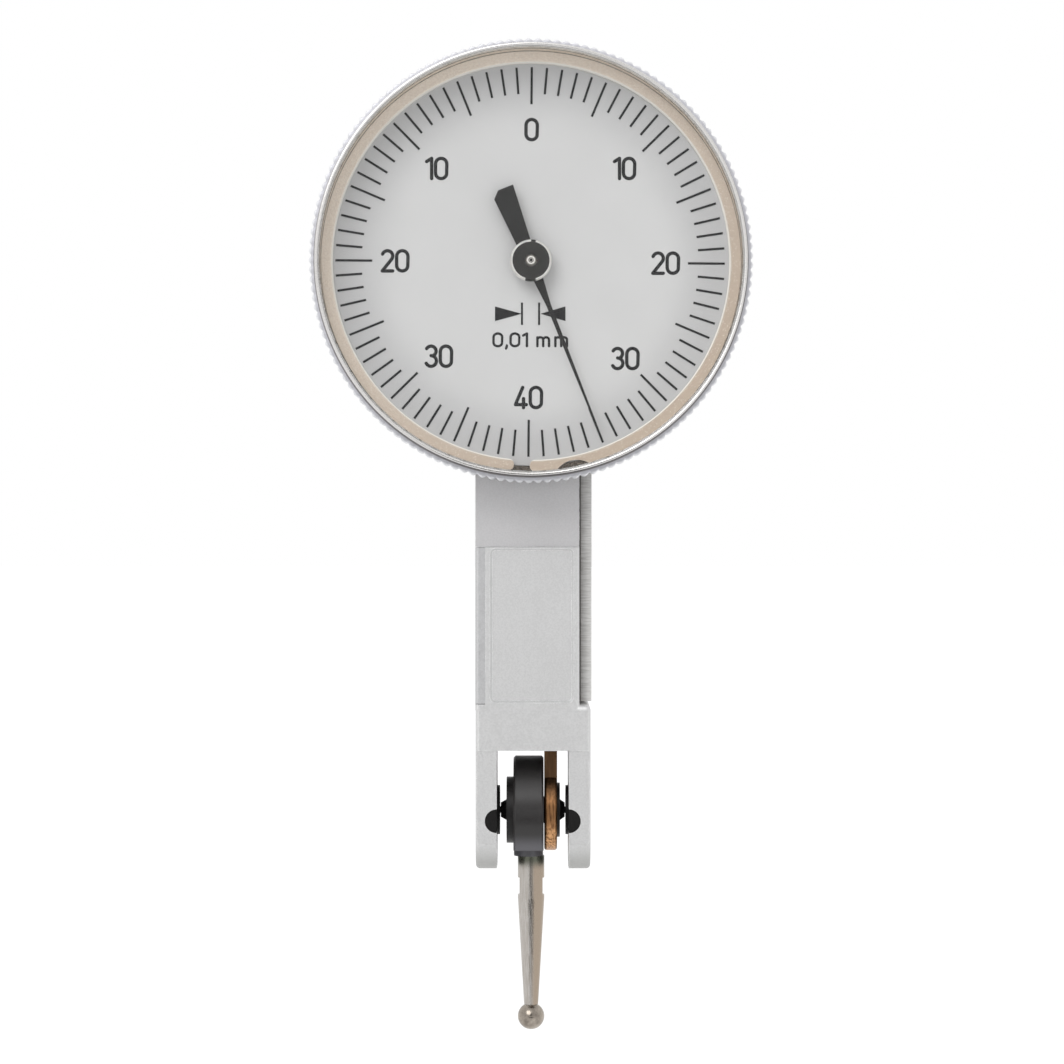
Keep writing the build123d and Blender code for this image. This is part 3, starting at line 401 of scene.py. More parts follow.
@dataclass(frozen=True)
class Finish:
    """A surface finish: its colours, its gloss and the fine marks on it."""

    name: str
    colour: Colour
    dark: Colour
    metallic: float = 1.0
    roughness: float = 0.4
    roughness_spread: float = 0.06
    grain_size: float = 0.12 * MM
    cloud_size: float = 3 * MM
    bump: float = 0.004 * MM
    specular: float = 0.5
    cloud_share: float = 0.5

    def material(self) -> bpy.types.Material:
        """Makes the material of this finish.

        Returns:
            The material.
        """
        made = bpy.data.materials.new(self.name)
        made.use_nodes = True
        sheet = MaterialSheet(made.node_tree, self.metallic, self.specular)
        self.draw(sheet)
        sheet.add("OutputMaterial", {"Surface": self.surface(sheet)})
        return made

    def surface(self, sheet: MaterialSheet) -> Socket:
        """The shader that goes to the material's output."""
        return sheet.shader.outputs[0]

    def draw(self, sheet: MaterialSheet) -> None:
        """Draws grain and soft clouds in colour, roughness and relief.

        Args:
            sheet: The material's sheet.
        """
        grain = sheet.effect(Effect.GRAIN, size=self.grain_size, cloud_size=self.cloud_size)
        tone = sheet.math(
            "ADD",
            sheet.times(grain["Tone"], 1 - self.cloud_share),
            sheet.times(grain["Clouds"], self.cloud_share),
        )
        self.lay(sheet, sheet.ramp(tone, *CRISP_MARKS), grain["Tone"])

    def lay(self, sheet: MaterialSheet, share: Socket, tone: Socket) -> None:
        """Feeds the colour from a share, and the gloss and the relief from a tone."""
        sheet.set("Base Color", self.colours(sheet, share))
        self.gloss(sheet, tone)

    def colours(self, sheet: MaterialSheet, share: Socket) -> Socket:
        """Mixes the finish's two colours by a share."""
        return sheet.blend(share, self.dark, self.colour)

    def gloss(self, sheet: MaterialSheet, tone: Socket) -> None:
        """Feeds the roughness and the relief from a tone between 0 and 1.

        Args:
            sheet: The material's sheet.
            tone: The fine marks, from 0 to 1.
        """
        low, high = self.roughness - self.roughness_spread, self.roughness + self.roughness_spread
        sheet.set("Roughness", sheet.ramp(tone, *SOFT_MARKS, low, high))
        sheet.relief(tone, self.bump)


@dataclass(frozen=True)
class TurnedFinish(Finish):
    """A turned metal surface, with fine rings round the dial's axis."""

    centre: Vector = field(default_factory=Vector)
    pitch: float = 0.06 * MM

    def draw(self, sheet: MaterialSheet) -> None:
        """Draws rings in colour, roughness and relief."""
        rings = sheet.turned(self.centre, self.pitch)["Rings"]
        self.lay(sheet, sheet.ramp(rings, *SOFT_MARKS), rings)


@dataclass(frozen=True)
class BrushedFinish(Finish):
    """Polished or ground steel with fine scratches along one direction."""

    stretch: Place = (20000.0, 20000.0, 400.0)

    def draw(self, sheet: MaterialSheet) -> None:
        """Draws the scratches in colour, roughness and relief."""
        lines = sheet.effect(Effect.BRUSHED, stretch=self.stretch)["Lines"]
        self.lay(sheet, sheet.ramp(lines, *SOFT_MARKS), lines)


@dataclass(frozen=True)
class BodyFinish(Finish):
    """The plated body: bead-blasted, darker above the step, grained and painted lighter on the side
    dovetail, with painted shade on the ear ends, a painted shadow beside the dovetail and painted
    highlights on its edges.
    """

    step_height: float = 0.0
    step_blur: float = 0.02 * MM
    dovetail_from: float = 0.0
    dovetail_end: float = 0.0
    dovetail_blur: float = 0.03 * MM
    dovetail_metallic: float = 0.1
    # Painted shade on the ear ends, darkest at the fork's end.
    fork_end: float = -33.1 * MM
    foot_reach: float = 2.2 * MM
    foot_shade: float = 0.5
    grinding: Place = (900.0, 900.0, 9000.0)
    grinding_from: float = 0.05 * MM
    groove_shadow_left: Flat = (-0.08 * MM, -0.03 * MM)
    groove_shadow_right: Flat = (0.1 * MM, 0.03 * MM)
    edge_mask_width: float = 0.08 * MM
    edge_mask_strength: float = 0.8
    upper: Colour = paint(214, 213, 214)
    upper_dark: Colour = paint(206, 205, 206)
    # The dovetail's own ground grain, in colours painted lighter than the body so that they stand in for
    # light on its shaded flank.
    dovetail: Colour = paint(244, 243, 241)
    dovetail_dark: Colour = paint(222, 221, 218)
    # Painted shadow in the corner beside the dovetail.
    groove_shadow: Colour = paint(110, 108, 106)
    # Painted highlight: the colour laid on the body's edges, where light catches them.
    edge: Colour = paint(250, 250, 250)
    shaded: Colour = paint(138, 139, 134)

    def colours(self, sheet: MaterialSheet, share: Socket) -> Socket:
        """Colours the bar above the step, the dovetail with a painted shadow in the corner beside it,
        painted shade on the ear ends, and painted highlights on the edges.

        Args:
            sheet: The material's sheet.
            share: How much of the lighter colour shows, from 0 to 1.

        Returns:
            The colour of the surface.
        """
        parts = sheet.parts()
        above = sheet.step(parts["Z"], self.step_height, self.step_blur)
        bar = sheet.blend(share, self.upper_dark, self.upper)
        base = sheet.blend(above, super().colours(sheet, share), bar)
        # Painted shade that darkens the ear ends towards their low end.
        foot_top = self.fork_end + self.foot_reach
        ear_end_shade = sheet.ramp(parts["Z"], foot_top, self.fork_end, 0.0, self.foot_shade)
        start = self.dovetail_from
        high = sheet.step(parts["Z"], self.dovetail_end, self.dovetail_blur)
        beside = sheet.times(high, sheet.ramp(parts["X"], start, start + self.grinding_from))
        # The dovetail's grain, drawn in its colours that are painted lighter to stand in for light.
        lines = sheet.effect(Effect.BRUSHED, stretch=self.grinding)["Lines"]
        ground = sheet.blend(sheet.ramp(lines, *CRISP_MARKS), self.dovetail_dark, self.dovetail)
        # The painted shadow beside the dovetail: a narrow band on either side of its start.
        sides = (self.groove_shadow_left, self.groove_shadow_right)
        shade = sheet.times(*(sheet.ramp(parts["X"], start + a, start + b) for a, b in sides))
        toned = sheet.blend(beside, sheet.blend(ear_end_shade, base, self.shaded), ground)
        groove_shadowed = sheet.blend(sheet.times(high, shade), toned, self.groove_shadow)
        sheet.set("Metallic", sheet.ramp(beside, 0.0, 1.0, self.metallic, self.dovetail_metallic))
        # Paints highlights along the edges through the edge mask.
        return sheet.blend(sheet.edge_mask(self.edge_mask_width, self.edge_mask_strength), groove_shadowed, self.edge)


@dataclass(frozen=True)
class DialFinish(Finish):
    """The dial plate's matt white, with painted shade that greys it a little towards its edge, where the
    bezel's rim shades it.
    """

    centre: Vector = field(default_factory=Vector)
    # Painted shade at the dial's edge.
    edge: Colour = paint(194, 194, 195)
    clear_radius: float = 9.5 * MM
    edge_radius: float = 13.6 * MM

    def colours(self, sheet: MaterialSheet, share: Socket) -> Socket:
        """Paints shade that greys the white from the clear middle to the edge."""
        rim_shade = sheet.ramp(sheet.turned(self.centre)["Radius"], self.clear_radius, self.edge_radius)
        return sheet.blend(rim_shade, super().colours(sheet, share), self.edge)


@dataclass(frozen=True)
class SpeckledFinish(Finish):
    """The tan split ring: fine specks, painted highlights on its inner bevel and edges, and painted shade
    that deepens to one side.
    """

    centre: Vector = field(default_factory=Vector)
    bevel_radius: float = 14.46 * MM
    bevel_blur: float = 0.04 * MM
    # Painted highlight on the inner bevel and the edges.
    bevel: Colour = paint(240, 236, 228)
    speck: Colour = paint(238, 230, 220)
    speck_scale: float = 5200.0
    speck_reach: Flat = (0.32, 0.18)
    speck_strength: float = 0.4
    # Painted shade that deepens away from the lit side, which lies at the clock angle below.
    side_shade: Colour = paint(192, 175, 158)
    lit_clock: float = 320.0
    edge_mask_width: float = 0.05 * MM
    edge_mask_strength: float = 0.8

    def colours(self, sheet: MaterialSheet, share: Socket) -> Socket:
        """Paints shade on one side, adds specks and paints highlights on the inner bevel and the ends.

        Args:
            sheet: The material's sheet.
            share: How much of the lighter colour shows, from 0 to 1.

        Returns:
            The colour of the surface.
        """
        specks = sheet.add("TexVoronoi", {"Vector": sheet.place, "Scale": self.speck_scale})
        light = sheet.ramp(specks.outputs["Distance"], *self.speck_reach)
        turned = sheet.turned(self.centre)
        # Painted shade: how far each point lies round from the lit side.
        away = sheet.math("RADIANS", sheet.math("SUBTRACT", turned["Clock"], self.lit_clock))
        side_shading = sheet.ramp(sheet.math("COSINE", away), 1.0, -1.0)
        base = sheet.blend(side_shading, super().colours(sheet, share), self.side_shade)
        body = sheet.blend(sheet.times(light, self.speck_strength), base, self.speck)
        # Painted highlight on the inner bevel, joined with the edges of the edge mask.
        inner = sheet.ramp(turned["Radius"], self.bevel_radius, self.bevel_radius - self.bevel_blur)
        edges = sheet.math("MAXIMUM", inner, sheet.edge_mask(self.edge_mask_width, self.edge_mask_strength))
        return sheet.blend(edges, body, self.bevel)


@dataclass(frozen=True)
class BezelFinish(TurnedFinish):
    """The bezel's chrome: a polished rim, a pearl knurl with painted shade in its valleys, a painted
    shadow line at the rim's foot, and a bore painted lighter behind the rim and painted dark deeper in.
    """

    grain_size: float = 0.07 * MM
    cloud_size: float = 2 * MM
    knurl_from: float = 15.55 * MM
    crest: float = 16 * MM
    valley_depth: float = 0.24 * MM
    bore: float = 15.23 * MM
    ring_front: float = -13 * MM
    shoulder: float = -14 * MM
    knurl: Colour = paint(236, 237, 240)
    # Painted shade in the knurl's valleys.
    valley_shade: Colour = paint(196, 196, 202)
    # Painted shadow line in the corner between the rim and the knurl.
    line: Colour = paint(136, 133, 134)
    # The bore wall behind the rim, painted lighter than the chrome so that it throws more light onto the
    # split ring.
    shade: Colour = paint(248, 244, 238)
    # Painted shade deep in the bore, behind the split ring's front, seen in its gap and notch.
    recess_shade: Colour = paint(92, 84, 76)
    knurl_metallic: float = 0.35
    blur: float = 0.03 * MM
    crest_width: float = 0.04 * MM
    line_inset: float = 0.025 * MM
    line_reach: Flat = (0.1 * MM, 0.05 * MM)
    line_behind: Flat = (0.3 * MM, 0.1 * MM)
    recess_behind: Flat = (0.12 * MM, 0.02 * MM)
    bore_blur: float = 0.02 * MM
    knurl_gloss: Flat = (0.42, 0.52)
    rim_gloss: Flat = (0.24, 0.32)
    relief_share: float = 0.3

    def colours(self, sheet: MaterialSheet, share: Socket) -> Socket:
        """Colours and mattes the rim, the knurl with painted shade in its valleys, the painted shadow
        line and the bore by their radius.

        Args:
            sheet: The material's sheet.
            share: How much of the lighter colour shows, from 0 to 1.

        Returns:
            The colour of the surface.
        """
        radius = sheet.turned(self.centre)["Radius"]
        depth = sheet.parts()["Y"]
        band = sheet.ramp(radius, self.knurl_from, self.knurl_from + self.blur)
        # Painted shade from the knurl's crests down into its valleys.
        crests = sheet.ramp(radius, self.crest - self.valley_depth, self.crest - self.crest_width)
        knurl = sheet.blend(crests, self.valley_shade, self.knurl)
        surface = sheet.blend(band, super().colours(sheet, share), knurl)
        # The painted shadow line, laid only behind the knurl's front shoulder.
        off = sheet.off(radius, self.knurl_from + self.line_inset)
        behind = sheet.ramp(depth, *(self.shoulder - reach for reach in self.line_behind))
        line = sheet.times(behind, sheet.ramp(off, *self.line_reach))
        lined = sheet.blend(line, surface, self.line)
        # Painted shade deeper than the split ring's front.
        deep = sheet.ramp(depth, *(self.ring_front - reach for reach in self.recess_behind))
        inside = sheet.ramp(radius, self.bore + self.bore_blur, self.bore)
        sheet.set("Metallic", sheet.ramp(band, 0.0, 1.0, self.metallic, self.knurl_metallic))
        grain = sheet.effect(Effect.GRAIN, size=self.grain_size, cloud_size=self.cloud_size)["Tone"]
        zones = (self.rim_gloss, self.knurl_gloss)
        smooth, matte = (sheet.ramp(grain, *SOFT_MARKS, *ends) for ends in zones)
        sheet.set("Roughness", sheet.add("Mix", {0: band, 2: smooth, 3: matte}).outputs[0])
        # The bore takes its painted light near the rim and its painted shade deeper in.
        return sheet.blend(inside, lined, sheet.blend(deep, self.shade, self.recess_shade))

    def gloss(self, sheet: MaterialSheet, tone: Socket) -> None:
        """Feeds only the relief, because each zone sets its own roughness."""
        sheet.relief(tone, self.bump * self.relief_share)


@dataclass(frozen=True)
class CapFinish(TurnedFinish):
    """The pointer's dark cap, with a polished ring round it that carries a painted dark reflection at two
    places.
    """

    ring_from: float = 1.33 * MM
    ring_blur: float = 0.02 * MM
    shade_from: float = 1.1 * MM
    shade_blur: float = 0.03 * MM
    ring: Colour = paint(250, 249, 246)
    shade: Colour = paint(36, 35, 33)
    # Painted dark reflection on the polished ring: the middle and the reach of each place, in degrees
    # from the top.
    dark_reflection: tuple[Flat, ...] = ((5.5, 8.5), (181.5, 15.5))
    dark_reflection_blur: float = 2.0

    def colours(self, sheet: MaterialSheet, share: Socket) -> Socket:
        """Colours the ring with its painted dark reflections, the dark shoulder inside it and the cap's
        middle.

        Args:
            sheet: The material's sheet.
            share: How much of the lighter colour shows, from 0 to 1.

        Returns:
            The colour of the surface.
        """
        turned = sheet.turned(self.centre)
        polished = sheet.ramp(turned["Radius"], self.ring_from, self.ring_from + self.ring_blur)
        # Paints the ring's dark reflection at each place.
        for middle, reach in self.dark_reflection:
            away = sheet.off(turned["Clock"], middle)
            polished = sheet.times(polished, sheet.step(away, reach, self.dark_reflection_blur))
        shoulder = sheet.step(turned["Radius"], self.shade_from, self.shade_blur)
        black = sheet.blend(shoulder, super().colours(sheet, share), self.shade)
        sheet.set("Metallic", polished)
        return sheet.blend(polished, black, self.ring)


@dataclass(frozen=True)
class PinFinish(TurnedFinish):
    """The turned end of the centre arbor: its centre mark painted dark as the shade in its dimple, in a
    bright ring.
    """

    mark: float = 0.08 * MM
    mark_blur: float = 0.02 * MM
    ring: float = 0.24 * MM
    ring_reach: Flat = (0.05 * MM, 0.02 * MM)
    bright: Colour = paint(235, 233, 228)
    # Painted shade in the centre mark's dimple.
    dimple_shade: Colour = paint(50, 48, 46)

    def colours(self, sheet: MaterialSheet, share: Socket) -> Socket:
        """Colours the ring, and paints shade in the centre mark, by their radius.

        Args:
            sheet: The material's sheet.
            share: How much of the lighter colour shows, from 0 to 1.

        Returns:
            The colour of the surface.
        """
        radius = sheet.turned(self.centre)["Radius"]
        on_ring = sheet.ramp(sheet.off(radius, self.ring), *self.ring_reach)
        ringed = sheet.blend(on_ring, super().colours(sheet, share), self.bright)
        return sheet.blend(sheet.ramp(radius, self.mark + self.mark_blur, self.mark), ringed, self.dimple_shade)


@dataclass(frozen=True)
class WornFinish(Finish):
    """A dark or coloured finish that is worn lighter along its edges, with a painted reflection below a
    height where one is given.
    """

    worn: Colour = paint(120, 118, 116)
    edge_mask_width: float = 0.05 * MM
    edge_mask_strength: float = 0.5
    # A painted reflection below a height, as on the hub's downward-facing part.
    low_reflection: Colour | None = None
    low_height: float = 0.0
    low_reach: float = 1.2 * MM

    def colours(self, sheet: MaterialSheet, share: Socket) -> Socket:
        """Mixes in the worn edges, and a painted reflection below a height where one is given.

        Args:
            sheet: The material's sheet.
            share: How much of the lighter colour shows, from 0 to 1.

        Returns:
            The colour of the surface.
        """
        base = super().colours(sheet, share)
        # Paints the reflection below the height.
        if self.low_reflection is not None:
            low = sheet.ramp(sheet.parts()["Z"], self.low_height + self.low_reach, self.low_height)
            base = sheet.blend(low, base, self.low_reflection)
        return sheet.blend(sheet.edge_mask(self.edge_mask_width, self.edge_mask_strength), base, self.worn)


@dataclass(frozen=True)
class BronzeFinish(BrushedFinish):
    """The ground bronze lever: a painted shadow of the housing at the top, and a painted highlight near
    its low end.
    """

    # Painted shadow where the lever rises into the housing.
    housing_shadow: Colour = paint(74, 56, 40)
    # Painted highlight where the rounded low end catches the light.
    bright: Colour = paint(234, 182, 132)
    shadow_height: float = -27.2 * MM
    bright_height: float = -30.6 * MM
    bright_span: Flat = (1.0 * MM, -0.4 * MM)
    shadow_span: Flat = (-1.4 * MM, 0.4 * MM)
    strength: float = 0.8

    def colours(self, sheet: MaterialSheet, share: Socket) -> Socket:
        """Mixes the streaked bronze with the painted shadow above and the painted highlight below.

        Args:
            sheet: The material's sheet.
            share: How much of the lighter colour shows, from 0 to 1.

        Returns:
            The colour of the surface.
        """
        height = sheet.parts()["Z"]
        bright = (self.bright_height + reach for reach in self.bright_span)
        housing_shadow = (self.shadow_height + reach for reach in self.shadow_span)
        # Painted highlight towards the low end.
        low = sheet.ramp(height, *bright, 0.0, self.strength)
        # Painted shadow above, where the housing shades the lever.
        high = sheet.ramp(height, *housing_shadow, 0.0, self.strength)
        lit = sheet.blend(sheet.times(low, share), super().colours(sheet, share), self.bright)
        return sheet.blend(high, lit, self.housing_shadow)


@dataclass(frozen=True)
class ShankFinish(BrushedFinish):
    """The polished shank: straw-coloured towards one side, with a painted dark reflection of the hub
    under the hub's collar.
    """

    straw: Colour = paint(162, 148, 133)
    straw_from: Flat = (-0.1 * MM, 0.3 * MM)
    # Painted dark reflection of the hub just below its collar.
    hub_reflection_below: Flat = (1.1 * MM, 0.2 * MM)
    hub_reflection: Colour = paint(96, 98, 88)
    collar_height: float = 0.0

    def colours(self, sheet: MaterialSheet, share: Socket) -> Socket:
        """Tints the side and paints the hub's dark reflection on the top end.

        Args:
            sheet: The material's sheet.
            share: How much of the lighter colour shows, from 0 to 1.

        Returns:
            The colour of the surface.
        """
        parts = sheet.parts()
        side = sheet.ramp(parts["X"], *self.straw_from)
        tinted = sheet.blend(side, super().colours(sheet, share), self.straw)
        # Paints the hub's dark reflection below the collar.
        dark_reflection = sheet.ramp(parts["Z"], *(self.collar_height - reach for reach in self.hub_reflection_below))
        return sheet.blend(dark_reflection, tinted, self.hub_reflection)


@dataclass(frozen=True)
class CrystalFinish(Finish):
    """The clear crystal, which lets light and shadows through to the dial."""

    refraction: float = 1.49

    def draw(self, sheet: MaterialSheet) -> None:
        """Draws clear acrylic with the faintest uneven gloss.

        Args:
            sheet: The material's sheet.
        """
        sheet.set("Transmission Weight", 1.0)
        sheet.set("IOR", self.refraction)
        clouds = sheet.effect(Effect.GRAIN, size=self.grain_size, cloud_size=self.cloud_size)["Clouds"]
        high = self.roughness + self.roughness_spread
        sheet.set("Base Color", self.colours(sheet, clouds))
        sheet.set("Roughness", sheet.ramp(clouds, *SOFT_MARKS, self.roughness, high))

    def surface(self, sheet: MaterialSheet) -> Socket:
        """Lets shadow and diffuse rays pass straight through.

        Args:
            sheet: The material's sheet.

        Returns:
            The shader for the material's output.
        """
        path = sheet.add("LightPath").outputs
        passing = sheet.math("MAXIMUM", path["Is Shadow Ray"], path["Is Diffuse Ray"])
        clear = sheet.add("BsdfTransparent").outputs[0]
        return sheet.add("MixShader", {0: passing, 1: sheet.shader.outputs[0], 2: clear}).outputs[0]


def dress(finish: Finish, *nodes: str) -> None:
    """Gives CAD nodes the material of a finish.

    Args:
        finish: The finish that they get.
        *nodes: The nodes' names.
    """
    material = finish.material()
    for node in nodes:
        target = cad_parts[node]
        target.data.materials.clear()
        target.data.materials.append(material)
        LOG.info("dressed %s in %s", node, material.name)


def finish_mesh(name: str, built: bmesh.types.BMesh, material: bpy.types.Material, body: str,
                sharp: float = 30.0) -> bpy.types.Object:
    """Turns a finished bmesh into a piece that rides on a body.

    Args:
        name: The piece's name.
        built: The bmesh, in place in the frame. It is freed.
        material: The finish of the piece.
        body: The body that it rides on.
        sharp: Edges that turn by more than this many degrees stay sharp.

    Returns:
        The new object.
    """
    bmesh.ops.recalc_face_normals(built, faces=built.faces)
    for face in built.faces:
        face.smooth = True
    for edge in built.edges:
        edge.smooth = edge.is_manifold and edge.calc_face_angle() < math.radians(sharp)
    mesh = bpy.data.meshes.new(name)
    built.to_mesh(mesh)
    built.free()
    mesh.materials.append(material)
    piece = bpy.data.objects.new(name, mesh)
    bpy.context.scene.collection.objects.link(piece)
    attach(piece, body)
    LOG.info("built %s with %d faces", name, len(mesh.polygons))
    return piece


def rotate(built: bmesh.types.BMesh, verts: Iterable[bmesh.types.BMVert], degrees: float,
           axis: str) -> None:
    """Turns vertices of a bmesh round an axis through the origin."""
    turn = Matrix.Rotation(math.radians(degrees), 3, axis)
    bmesh.ops.rotate(built, verts=verts, cent=(0, 0, 0), matrix=turn)


def arc(across: float, up: float, radius: float, start: float, end: float, steps: int = 10) -> list[Flat]:
    """Points on an arc.

    Args:
        across: The centre's place across.
        up: The centre's height.
        radius: The radius.
        start: The first angle in degrees, from the right and anticlockwise.
        end: The last angle in degrees.
        steps: How many steps the arc takes.

    Returns:
        The points in order.
    """
    angles = [math.radians(start + (end - start) * i / steps) for i in range(steps + 1)]
    return [(across + radius * math.cos(a), up + radius * math.sin(a)) for a in angles]


@dataclass
class Studio:
    """The camera, the lamps, the floor and the white surroundings."""

    camera_place: Place = (0.07 * MM, -229.9 * MM, -8.31 * MM)
    focal_length: float = 101.4
    sensor: float = 36.0
    clip: Flat = (0.01, 20.0)
    ambient: float = 0.77
    floor_gap: float = 12 * MM
    floor_width: float = 8.0
    floor_lift: float = 0.3
    paper: Colour = (0.86, 0.86, 0.86, 1)
    cloth: Colour = (0.05, 0.05, 0.05, 1)
    lamp_spread: float = 35.0
    lamps: tuple[tuple[str, Place, float], ...] = (
        ("key_lamp", (-0.35, -0.75, 0.55), 0.95),
        ("fill_lamp", (0.5, -0.75, -0.35), 0.45),
    )
    front_card: Flat = (90 * MM, 90 * MM)
    front_card_place: Place = (0, -262 * MM, 36 * MM)
    low_card: Flat = (76 * MM, 160 * MM)
    low_card_depth: float = -148 * MM
    low_card_lift: float = 1 * MM

    def build(self, lowest: float) -> None:
        """Sets up the whole studio.

        Args:
            lowest: The height of the object's lowest point.
        """
        floor = lowest - self.floor_gap
        self._camera()
        self._world()
        self._floor(floor)
        self._card("front_card", self.front_card, self.front_card_place, 90)
        self._card("low_card", self.low_card, (0, self.low_card_depth, floor + self.low_card_lift), 0)
        for name, towards, strength in self.lamps:
            self._lamp(name, towards, strength)
        bpy.context.scene.view_settings.view_transform = "Standard"

    def _camera(self) -> None:
        """Places the camera at the photograph's viewing angle."""
        lens = bpy.data.cameras.new("camera")
        lens.lens = self.focal_length
        lens.sensor_width = self.sensor
        lens.clip_start, lens.clip_end = self.clip
        camera = bpy.data.objects.new("camera", lens)
        camera.location = self.camera_place
        camera.rotation_euler = (math.radians(90), 0, 0)
        bpy.context.scene.collection.objects.link(camera)
        bpy.context.scene.camera = camera

    @staticmethod
    def _sheet(owner: bpy.types.ID) -> NodeSheet:
        """Empties the nodes of a material or a world and returns their sheet.

        Args:
            owner: The material or the world.

        Returns:
            The empty sheet.
        """
        owner.use_nodes = True
        owner.node_tree.nodes.clear()
        return NodeSheet(owner.node_tree)

    @staticmethod
    def _seen(sheet: NodeSheet) -> Socket:
        """1 for what the camera sees directly, in gloss or through glass, and else 0.

        Args:
            sheet: The sheet that it goes into.

        Returns:
            The mask.
        """
        path = sheet.add("LightPath").outputs
        indirect = sheet.math("MAXIMUM", path["Is Glossy Ray"], path["Is Transmission Ray"])
        return sheet.math("MAXIMUM", path["Is Camera Ray"], indirect)

    def _world(self) -> None:
        """White surroundings for the camera, gloss and glass, and a softer light for the rest."""
        world = bpy.data.worlds.new("studio")
        sheet = self._sheet(world)
        strength = sheet.ramp(self._seen(sheet), 0.0, 1.0, self.ambient, 1.0)
        light = sheet.add("Background", {"Color": WHITE, "Strength": strength})
        sheet.add("OutputWorld", {"Surface": light.outputs[0]})
        bpy.context.scene.world = world

    def _plate(self, name: str, size: Flat, place: Place,
               tilt: float) -> tuple[bpy.types.Object, NodeSheet]:
        """Makes a flat plate of the studio.

        Args:
            name: The plate's name.
            size: Its width and height.
            place: Its middle.
            tilt: How far it stands up from lying flat, in degrees.

        Returns:
            The plate and the empty sheet of its material.
        """
        plate = bmesh.new()
        bmesh.ops.create_grid(plate, x_segments=1, y_segments=1, size=0.5)
        bmesh.ops.scale(plate, verts=plate.verts, vec=(*size, 1))
        rotate(plate, plate.verts, tilt, "X")
        bmesh.ops.translate(plate, verts=plate.verts, vec=place)
        mesh = bpy.data.meshes.new(name)
        plate.to_mesh(mesh)
        plate.free()
        made = bpy.data.materials.new(name + "_surface")
        mesh.materials.append(made)
        stood = bpy.data.objects.new(name, mesh)
        bpy.context.scene.collection.objects.link(stood)
        return stood, self._sheet(made)

    def _floor(self, height: float) -> None:
        """A plain pale floor that shows the object's shadow.

        Args:
            height: The floor's height.
        """
        floor, sheet = self._plate("floor", (self.floor_width, self.floor_width), (0, 0, height), 0)
        paper = sheet.add("BsdfDiffuse", {"Color": self.paper})
        strength = sheet.times(self._seen(sheet), self.floor_lift)
        lift = sheet.add("Emission", {"Color": WHITE, "Strength": strength})
        both = sheet.add("AddShader", {0: paper.outputs[0], 1: lift.outputs[0]})
        sheet.add("OutputMaterial", {"Surface": both.outputs[0]})
        floor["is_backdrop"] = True

    def _card(self, name: str, size: Flat, place: Place, tilt: float) -> None:
        """A dark card that only gloss sees, so that bright metal has depth.

        Args:
            name: The card's name.
            size: Its width and height.
            place: Its middle.
            tilt: How far it stands up from lying flat, in degrees.
        """
        stood, sheet = self._plate(name, size, place, tilt)
        cloth = sheet.add("BsdfDiffuse", {"Color": self.cloth})
        sheet.add("OutputMaterial", {"Surface": cloth.outputs[0]})
        stood.visible_camera = stood.visible_diffuse = stood.visible_shadow = False
        stood.visible_transmission = False
        stood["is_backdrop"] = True

    def _lamp(self, name: str, towards: Place, strength: float) -> None:
        """A wide soft lamp that stands far away.

        Args:
            name: The lamp's name.
            towards: The direction from the object to the lamp.
            strength: How much light falls on a surface that faces it.
        """
        light = bpy.data.lights.new(name, "SUN")
        light.angle = math.radians(self.lamp_spread)
        light.energy = strength
        lamp = bpy.data.objects.new(name, light)
        lamp.rotation_euler = (-Vector(towards)).to_track_quat("-Z", "Y").to_euler()
        bpy.context.scene.collection.objects.link(lamp)


@dataclass
class Housing:
    """The body with its cover, the pivot bearings, the dial case and their screws."""

    step_height: float = -9.39 * MM
    dovetail_from: float = 3.62 * MM
    dovetail_end: float = -20.9 * MM

    def dress(self) -> None:
        """Gives each piece of the housing its finish."""
        blasted = {"metallic": 0.85, "grain_size": 0.13 * MM, "cloud_share": 0.15, "bump": 0.007 * MM}
        dress(BodyFinish(
            "plated_body", paint(216, 216, 216), paint(206, 206, 206), roughness=0.5,
            step_height=self.step_height, dovetail_from=self.dovetail_from,
            dovetail_end=self.dovetail_end, **blasted,
        ), "body_frame")
        dress(Finish("plated_cover", paint(202, 202, 203), paint(191, 191, 192), roughness=0.48,
                     **blasted), "side_cover")
        dress(BrushedFinish("screw_steel", paint(190, 190, 188), paint(150, 150, 148), roughness=0.28,
                            stretch=(9000.0, 9000.0, 9000.0)),
              "cover_screws", "case_screws", "pivot_screw_left", "pivot_screw_right")
        dress(WornFinish("black_bearing", paint(27, 26, 26), paint(20, 19, 19), metallic=0.0,
                         roughness=0.5, specular=0.15, worn=paint(64, 62, 61)),
              "pivot_bearing_left", "pivot_bearing_right")
        dress(Finish("satin_case", paint(196, 196, 196), paint(186, 186, 186), roughness=0.42,
                     grain_size=0.1 * MM), "dial_case")
        dress(BrushedFinish("spring_wire", paint(170, 168, 164), paint(140, 138, 134)), "friction_ring")


